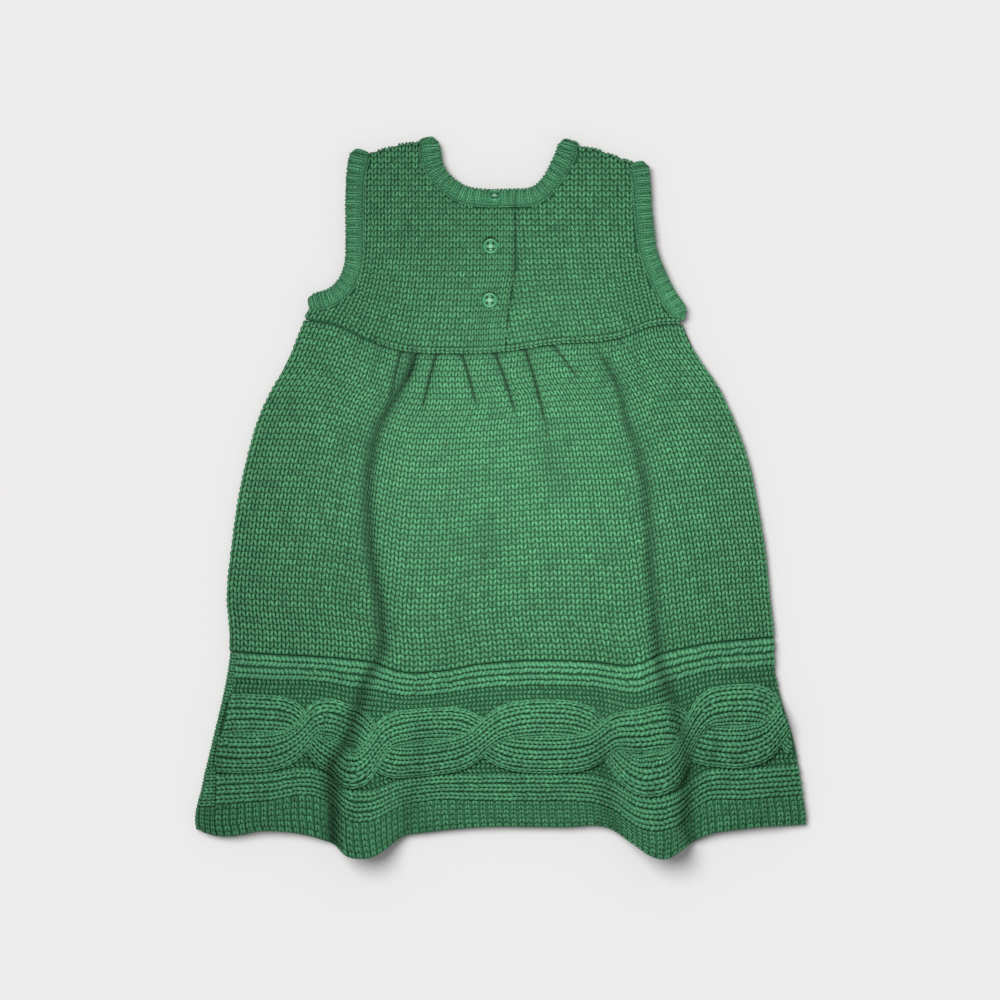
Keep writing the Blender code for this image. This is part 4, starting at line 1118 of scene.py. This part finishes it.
def seamBeside(route, distance, extend=bands["foldReach"]):
    # a line at a distance beside a band's middle, run on straight past both of its ends
    path = smoothPath(route, 80)
    heading = headingAlong(path)
    ends = np.concatenate([path[:1] - extend * heading[:1], path, path[-1:] + extend * heading[-1:]])
    normal = np.stack([-heading[:, 1], heading[:, 0]], -1)
    return ends + distance * np.concatenate([normal[:1], normal, normal[-1:]])


def waistEdge(seam, x0, x1, count):
    # the panel's lower edge: points along the waist seam, and just above it
    x = np.linspace(x0, x1, count)
    return np.stack([x, follow(seam, "x", "y", x) + cloth["seam"]], -1)


def shoulderAndNeck(shoulderEnd, neckSeam, count, share):
    # a panel's upper edge: straight over the shoulder for a share of its points, then the neck
    split = round(share * (count - 1))
    shoulder = np.linspace(shoulderEnd, neckSeam[0], split + 1)[:-1]
    return np.concatenate([shoulder, even(neckSeam, count - split)])


bandLines = np.concatenate([
    smoothPath(route, 120) for route in (neckBackLeft, neckBackRight, armLeft, armRight)
])


def bandDistance(x, y):
    # how far a point lies from the nearest band's edge
    flat = np.stack([x.ravel(), y.ravel()], -1)
    gaps = np.sqrt(((flat[:, None] - bandLines[None]) ** 2).sum(-1)) - halfWidth(bandLines[:, 1])
    return gaps.min(axis=1).reshape(x.shape) - 0.4


shoulders = table(
    "x y",
    (-95, 216.5), (-82, 216.5), (-76, 217.7), (-69, 220.2), (-63, 221.4), (-56.5, 222.7),
    (-45, 224.0), (0, 224.0), (45, 221.6), (53, 220.2), (57, 219.6), (62, 217.8),
    (67.5, 216.0), (73, 213.8), (78, 212.3), (82.5, 210.3), (96, 208),
)


def shoulderAt(x):
    return follow(shoulders, "x", "y", x)


def bodiceTop(x, y, leftPanel):
    # the back bodice: puffed away from its seams, sunk a little beside the bands and the slit,
    # raised at the placket, and held down beside the buttons
    distance = np.minimum(bandDistance(x, y), y - waistAt(x))
    puffed = bodice["puff"] * ease(distance / bodice["puffReach"])
    z = backBase + cloth["wall"] + puffed - bodice["seamSink"] * ease(1 - distance / bodice["seamReach"])
    past = x - slitAt(y)
    if leftPanel:
        z = z + bodice["placketRise"] * ease((past + bodice["placketWidth"]) / bodice["placketEase"])
        z = z - bodice["slitSink"] * ease(1 + past / bodice["slitReach"])
    else:
        z = z - bodice["underSink"] * ease(1 - past / bodice["underReach"])
    for hollowX, hollowY in buttonHollows:
        gap = ((x - hollowX) ** 2 + (y - hollowY) ** 2) / bodice["hollowSpread"]
        z = z - bodice["hollow"] * leftPanel * np.exp(-gap)
    return z


def insideOutline(x, y, outline):
    # even-odd rule: how many outline edges a line to the right crosses
    x0, y0 = outline[:, 0], outline[:, 1]
    x1, y1 = np.roll(x0, -1), np.roll(y0, -1)
    spans = (y0 > y[:, None]) != (y1 > y[:, None])
    crossing = x0 + (y[:, None] - y0) * (x1 - x0) / np.where(y1 == y0, 1e-9, y1 - y0)
    return ((spans & (x[:, None] < crossing)).sum(axis=1) % 2) == 1


def panelEdges(left):
    # lower, upper, left and right edge of a back panel, each from its left or lower end
    slitLine = smoothPath(slit, 24)
    if left:
        arm = seamBeside(armLeft, bands["seam"], 5.4)[::-1]
        neck = seamBeside(neckBackLeft, bands["seam"])[::-1]
        edge = slitLine - [cloth["seam"], 0]
        neck = np.concatenate([neck[neck[:, 0] < edge[-1, 0] - 1], edge[-1:]])
        bottom = waistEdge(waist, -121.8, edge[0, 0], 25)
        sideLine = even(np.concatenate([bottom[:1], arm]), 24)
        slitSide = np.concatenate([bottom[-1:], edge[1:]])
        return bottom, shoulderAndNeck(arm[-1], neck, 25, 0.3), sideLine, slitSide
    arm = seamBeside(armRight, -bands["seam"])[::-1]
    neck = seamBeside(neckBackRight, bands["seam"])[::-1]
    edge = slitLine + [cloth["seam"], 0]
    neck = np.concatenate([edge[-1:], neck[neck[:, 0] > neckBackRight["x"][-1] + 1]])
    bottom = waistEdge(waist, edge[0, 0], 113.4, 25)
    slitSide = np.concatenate([bottom[:1], edge[1:]])
    sideLine = even(np.concatenate([bottom[-1:], arm]), 24)
    return bottom, shoulderAndNeck(arm[-1], neck[::-1], 25, 0.35)[::-1], slitSide, sideLine


def wale(number, y, left):
    # the x of a wale at the height y, counted from the slit: the wales hang straight from the
    # neck and fan out towards the waist, and the ones of the placket follow the slit
    slitTop = slit["x"][-1]
    if left:
        wales, most = bodice["placketWales"], fan["wales"]
        placket = wales * bodice["placketGauge"]
        farthest = placket + (most - wales) * bodice["leftGauge"]
        x0 = slitTop - np.interp(number, [0, wales, most], [0, placket, farthest])
        reach = np.clip((-0.3 - x0) / fan["halfWidth"], 0, 1.3)
        hung = x0 - fan["left"] * reach * np.clip((fan["leftFrom"] - y) / fan["leftOver"], 0, 1.15) ** 2
        beside = ease((x0 + fan["straight"]) / fan["straight"])
        return hung * (1 - beside) + (x0 + slitAt(y) - slitTop) * beside
    spread = fan["right"] * np.clip((fan["rightFrom"] - y) / fan["rightOver"], 0, 1.15) ** 2
    return slitTop + (number - fan["rightFirst"]) * bodice["rightGauge"] + spread


def bodiceShell(name, left):
    # the panel's patch with its shoulder rolled down, and the outline of that patch
    bottom, top, first, last = panelEdges(left)
    plan = patch(bottom, top, first, last)
    plan[..., 1] = np.minimum(plan[..., 1], shoulderAt(plan[..., 0]) - 1.6)
    x, y = plan[..., 0], plan[..., 1]
    z = bodiceTop(x, y, left) - bodice["groundBed"] - 2.0 * ease((y - shoulderAt(x) + 4.4) / 2.8)
    wales = round(np.ptp(x) / bodice["groundGauge"])
    cells = (wales, bodice["groundRows"])
    base = clothShell(name, np.dstack([plan, z]), bodice["ground"], cells, straightDown)
    return base, np.concatenate([bottom, last[1:], top[::-1][1:], first[::-1][1:-1]])


def bodiceKnit(left, columns, rows):
    # a map of wales and courses; past the start of the roll it runs down a quarter circle at
    # the shoulder, and how far round it has come is kept as an angle
    u, v = np.meshgrid(np.arange(2 * columns + 1) / 2, np.arange(2 * rows + 1) / 2)
    y = 92 + v * bodice["courseHeight"]
    x = wale(u, y, left)
    y = y + (waistAt(x) - 91) * (1 - ease((y - 92) / 70))
    roll = bodice["roll"]
    start = shoulderAt(x) - 1.1 - roll
    angle = np.clip((y - start) / roll, 0, 1.9)
    y = np.minimum(y, start) + roll * np.sin(angle)
    z = bodiceTop(x, y, left) - cloth["bed"] - roll * (1 - np.cos(angle))
    return clothMap(np.stack([x, y, z], -1), 2), angle


def makeBodicePanel(name, left, node, columns, flat):
    base, outline = bodiceShell(name + "Ground", left)
    place(base, ground, [node])
    rows = bodice["rows"]
    knit, angle = bodiceKnit(left, columns, rows)
    u, v = np.meshgrid(np.arange(columns) + 0.5, np.arange(rows) + 0.5)
    u, v = u.ravel(), v.ravel()
    flush = np.zeros_like(u)
    x, y, _ = onMap(knit, u, v, flush).T
    turned = dict(knit, points=np.dstack([angle] * 3), normals=0 * knit["normals"])
    bent = onMap(turned, u, v, flush)[:, 0]
    # stitches stay inside the bands, the waist, the sides and the panel's outline
    inside = (bandDistance(x, y) > -0.9) & (y - waistAt(x) > 1.0) & (bent < 1.6)
    inside &= (x > sideAt(y, "left") + 0.4) & (x < sideAt(y, "right") - 1)
    inside &= insideOutline(x, np.minimum(y, shoulderAt(x) - 4), outline)
    piece = stitches(name + "Stitches", knit, u[inside], v[inside], vStitch())
    place(piece, yarn)
    print(name, inside.sum(), "stitches")


def makeBodiceFront():
    # a patch between the front's seams, level on top and thick enough to reach the floor
    armL, armR = seamBeside(armLeft, bands["seam"])[::-1], seamBeside(armRight, -bands["seam"])[::-1]
    neck = seamBeside(neckFront, -bands["seam"])
    bottom = waistEdge(frontWaist, armL[0, 0], armR[0, 0], 41)
    first = even(np.concatenate([bottom[:1], armL]), 24)
    last = even(np.concatenate([bottom[-1:], armR]), 24)
    shoulderL, shoulderR = np.linspace(armL[-1], neck[0], 5), np.linspace(neck[-1], armR[-1], 5)
    top = np.concatenate([shoulderL[:-1], even(neck, 33), shoulderR[1:]])
    plan = patch(bottom, top, first, last)
    plan[..., 1] = np.minimum(plan[..., 1], shoulderAt(plan[..., 0]) - 1.4)
    level = np.dstack([plan, np.full(plan.shape[:2], bodice["frontTop"])])
    made = clothShell("bodiceFront", level, bodice["frontThick"], (50, 34), straightDown)
    place(made, plainKnit, ["bodice_front"])
    print("front bodice laid")


hem = dict(ribs=87, rows=6, bed=0.7, ground=1.7, groundDepth=0.45, flat=(0.42, 0.021))


def makeHem():
    # a grid from the border to the edge, which it rolls down to over its last fifth
    ribs, rows = hem["ribs"], hem["rows"]
    shares = np.linspace(-0.05, 1, 2 * rows + 1)
    x, y = spanPlan(hemTop, hemBottom, shares, np.linspace(0, 1, 900), wrappedLeft, 0.0)
    z = backTop(x, y, roundLeft=False) - hem["bed"]
    z = z - 1.6 * ease((shares[:, None] - 0.8) / 0.2) ** 2
    knit = clothMap(byLength(np.stack([x, y, z], -1), ribs, 2 * ribs + 1), 2)
    under = knit["points"] + hem["groundDepth"] * straightDown
    base = clothShell("hemBackGround", under, hem["ground"], (ribs, rows), straightDown)
    place(base, ribGround, ["hem_rib_back"])
    u, v = np.meshgrid(np.arange(ribs) + 0.5, np.arange(rows) + 0.5)
    shape = vStitch(inner=0.1, outer=0.27, width=0.19, thick=0.8)
    piece = stitches("hemBackRibs", knit, u.ravel(), v.ravel(), shape, unevenness=0.08)
    place(piece, ribYarn)
    print("hem rib:", ribs, "ribs")


castOff = dict(stitches=66, left=-78, right=112.6, above=1.9, half=2.1, rise=0.7)


def makeWaistChain():
    # the cast-off edge of the bodice: one row of stitches on its side along the seam
    count, half = castOff["stitches"], castOff["half"]
    x = np.linspace(castOff["left"], castOff["right"], 600)
    line = even(np.stack([x, waistAt(x) + castOff["above"]], -1), 2 * count + 1)
    y = line[:, 1] + np.linspace(-half, half, 3)[:, None]
    x = np.broadcast_to(line[:, 0], y.shape)
    level = np.full_like(y, backBase + cloth["wall"] + castOff["rise"])
    knit = clothMap(np.stack([x, y, level], -1), 2)
    shape = vStitch(inner=0.14, outer=0.36, width=0.25, low=-0.6, high=0.6)
    u, v = np.arange(count) + 0.5, np.full(count, 0.5)
    piece = stitches("waistCastOff", knit, u, v, shape, sideways=True)
    place(piece, yarn)
    print("waist cast off:", count, "stitches")


button = dict(
    high=2.4, dish=0.9, dishEdge=0.25,     # height of the rim, and how far the face lies under it
    face=3.2, rim=3.95, rimHalf=0.85,      # radii of the face and the rim's crest, half its width
    side=4.7, sideHeight=0.4, foot=4.2,    # the widest place, its height, and the flat underside
    hole=0.8, spacing=1.6, holeDepth=1.35, holesWithin=3.1,
    thread=0.24, threadPair=0.2, threadReach=0.74,
    cloud=3.846,                           # size of the clouds in the cast
    leans=(40.0, 0.0, 0.0),                # degrees: the top one stands in the neck band
)


def buttonForm():
    # a turned disc: the height over its underside as a function of radius and angle, a dished
    # face inside a half round rim, with four wells whose sides fall off steeply
    radius = button["rim"] + button["rimHalf"] * np.sin(np.linspace(-1.3, 1.57, 11))
    radius = np.concatenate([np.linspace(0, button["face"], 20)[1:], radius])
    dish = button["high"] - button["dish"]
    offset = (radius - button["rim"]) / (button["rimHalf"] + 0.01)
    rim = (button["dish"] + button["dishEdge"]) * np.sqrt(np.maximum(1 - offset ** 2, 0))
    top = dish - button["dishEdge"] * ease((radius - 2.4) / 0.8) + rim
    radius = np.append(radius, [button["side"], button["foot"]])
    level = np.append(top, [button["sideHeight"], 0.0])
    r, a = np.meshgrid(radius, np.linspace(0, 2 * np.pi, 64, endpoint=False), indexing="ij")
    x, y = r * np.cos(a), r * np.sin(a)
    well = np.zeros_like(x)
    for sx, sy in ((-1, -1), (-1, 1), (1, -1), (1, 1)):
        gap = np.hypot(x - sx * button["spacing"], y - sy * button["spacing"])
        well = np.maximum(well, np.exp(-(gap / button["hole"]) ** 6))
    well = well * (r < button["holesWithin"])
    z = level[:, None] - button["holeDepth"] * well
    points = np.concatenate([np.stack([x, y, z], -1).reshape(-1, 3), [[0, 0, dish], [0, 0, 0]]])
    # the wells' mask goes with it, for the painted shade in the holes
    return points, turnedOut(points, tubeFaces(*r.shape)), np.append(well.ravel(), [0, 0])


def buttonThreads():
    # doubled threads between opposite holes, one pair over the other, dipping into the holes
    dish = button["high"] - button["dish"]
    t = np.linspace(0, 1, 9)[:, None]
    diagonal = 2.83
    threads = []
    for number, (start, end) in enumerate((((-1, -1), (1, 1)), ((-1, 1), (1, -1)))):
        line = np.array(start) * (1 - t) + np.array(end) * t
        beside = np.array([start[1] - end[1], end[0] - start[0]]) / diagonal
        rise = dish + 0.12 + 0.3 * number - 1.1 * np.abs(2 * t - 1) ** 6
        for shift in (-button["threadPair"], button["threadPair"]):
            spot = button["threadReach"] * button["spacing"] * line + beside * shift
            threads.append(tube(np.column_stack([spot, rise]), button["thread"]))
    return joined(*threads)


def makeButton(number, lean):
    low, high = (np.array(corner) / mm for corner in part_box(f"button_{number}"))
    c, s = np.cos(lean), np.sin(lean)

    def seated(local):
        # tipped about its own middle, and moved to the middle of its CAD solid
        x, y, z = (local - [0, 0, button["high"] / 2]).T
        return np.stack([x, c * y + s * z, -s * y + c * z], -1) + (low + high) / 2

    points, faces, hollow = buttonForm()
    uv = points[:, :2] * 0.1 + 0.5
    disc = addMesh(f"button{number}", seated(points), faces, uv, dict(hollow=hollow))
    place(disc, castButton, [f"button_{number}"])
    points, faces, uv = buttonThreads()
    attributes = dict(tone=np.zeros(len(points)), deep=np.ones(len(points)))
    piece = addMesh(f"button{number}Thread", seated(points), faces, uv, attributes)
    place(piece, sewingThread)
    print(f"button{number} sewn on")


def tube(line, radius, around=6):
    # rings square to a line, closed at both ends
    heading = headingAlong(line)
    side = np.cross(heading, [0.0, 0.0, 1.0])
    side /= np.linalg.norm(side, axis=1)[:, None] + 1e-9
    up = np.cross(side, heading)
    angle = (2 * np.pi * np.arange(around) / around)[None, :, None]
    rings = line[:, None] + radius * (np.cos(angle) * side[:, None] + np.sin(angle) * up[:, None])
    points = np.concatenate([rings.reshape(-1, 3), line[[0, -1]]])
    faces = turnedOut(points - points.mean(axis=0), tubeFaces(len(line), around))
    return points, faces, np.column_stack([np.linspace(0, 1, len(points)), np.zeros(len(points))])


def castPolyester(name, light, dark):
    # cast polyester button: hard and glossy, faintly clouded, with painted shade down in its holes
    material, tree, shader = startMaterial(name, 0.27, 0.5)
    hollow = addNode(tree, "Attribute", output="Fac", attribute_name="hollow")
    spot = addNode(tree, "TexCoord", output="Object")
    noise = {"Vector": spot, "Scale": 1 / (button["cloud"] * mm), "Detail": 2.0}
    cloud = addNode(tree, "TexNoise", noise, "Fac")
    cloud = addNode(tree, "Math", [cloud, 0.25], operation="MULTIPLY")
    # painted shade: the wells take the near-black colour
    share = addNode(tree, "Math", [hollow, cloud], operation="MAXIMUM")
    colour = addNode(tree, "Mix", {0: share, 6: linear(light), 7: linear(dark)}, 2, data_type="RGBA")
    tree.links.new(colour, shader.inputs["Base Color"])
    return material


castButton = castPolyester("cast polyester button", "4A9D6B", "051A0B")
sewingThread = spunCotton("sewing thread", "9AD3AE", "4F9A6B")


stage = dict(
    paper="F4F2F2", paperHalf=6000.0,                 # half the width of the sheet, millimetres
    room="F6F6F8", roomStrength=0.33,
    camera=(-0.0003, -0.0019, 4.0), sensor=36.0,      # metres, and millimetres
    frameWidth=0.625, frameDistance=3.992,            # metres that the photo's frame spans
)
# the near lamp falls off towards the sides of the dress, and a broad soft light from the upper
# left keeps the paper evenly light
lamps = dict(
    softbox=dict(kind="SUN", place=(-0.5, 0.5, 1.5), turn=(-20, -24), size=np.radians(38), power=2.33),
    lamp=dict(kind="AREA", place=(0.012, 0.04, 0.33), turn=(0, 0), size=0.08, power=1.2),
)


def addHolder(name, data, spot):
    holder = bpy.data.objects.new(name, data)
    bpy.context.scene.collection.objects.link(holder)
    holder.location = spot
    return holder


def makePaper():
    # a broad level sheet of paper under the garment
    material, _, shader = startMaterial("matt white paper", 0.9, 0.1)
    shader.inputs["Base Color"].default_value = linear(stage["paper"])
    half = stage["paperHalf"]
    corners = np.array([(-half, -half, 0), (half, -half, 0), (half, half, 0), (-half, half, 0)])
    floor = addMesh("floor", corners, np.array([[0, 1, 2, 3]]))
    floor.data.materials.append(material)
    return floor


def lit(name, pieces):
    # a collection that a lamp shines on
    collection = bpy.data.collections.new(name)
    for piece in pieces:
        collection.objects.link(piece)
    return collection


def makeStage():
    garment = lit("garment", [piece for piece in bpy.context.scene.objects if piece.type == "MESH"])
    paper = lit("paper", [makePaper()])
    for (name, look), receiver in zip(lamps.items(), (paper, garment)):
        lamp = bpy.data.lights.new(name, look["kind"])
        setattr(lamp, "angle" if look["kind"] == "SUN" else "size", look["size"])
        lamp.energy = look["power"]
        holder = addHolder(name, lamp, look["place"])
        holder.rotation_euler = (*np.radians(look["turn"]), 0.0)
        holder.light_linking.receiver_collection = receiver

    scene = bpy.context.scene
    scene.world = bpy.data.worlds.new("soft room")
    scene.world.use_nodes = True
    background = scene.world.node_tree.nodes["Background"]
    background.inputs[0].default_value = linear(stage["room"])
    background.inputs[1].default_value = stage["roomStrength"]

    camera = bpy.data.cameras.new("camera")
    camera.sensor_width = stage["sensor"]
    camera.lens = stage["sensor"] * stage["frameDistance"] / stage["frameWidth"]
    camera.clip_end = 20.0
    scene.camera = addHolder("camera", camera, stage["camera"])
    scene.view_settings.view_transform = "Standard"
    scene.view_settings.look = "None"
    print("paper, lamps and camera set up")


makeSkirtFront()
makeSkirt()
makeWrappedFront(borderWrap, frontBorderTop, frontHemTop)
makeBorder()
makeWrappedFront(hemWrap, frontHemTop, frontHemBottom)
makeHem()
makeBodiceFront()
for name, panel in panels.items():
    makeBodicePanel(name, **panel)
makeWaistChain()
makeNeckBand()
makeArmBand("armBandLeft", armLeft, 1, "arm_band_left")
makeArmBand("armBandRight", armRight, -1, "arm_band_right")
for number, lean in enumerate(np.radians(button["leans"]), 1):
    makeButton(number, lean)

makeStage()
shown = [o for o in bpy.context.scene.objects if o.type == "MESH" and not o.hide_render]
print("triangles in all:", sum(sum(len(p.vertices) - 2 for p in o.data.polygons) for o in shown))
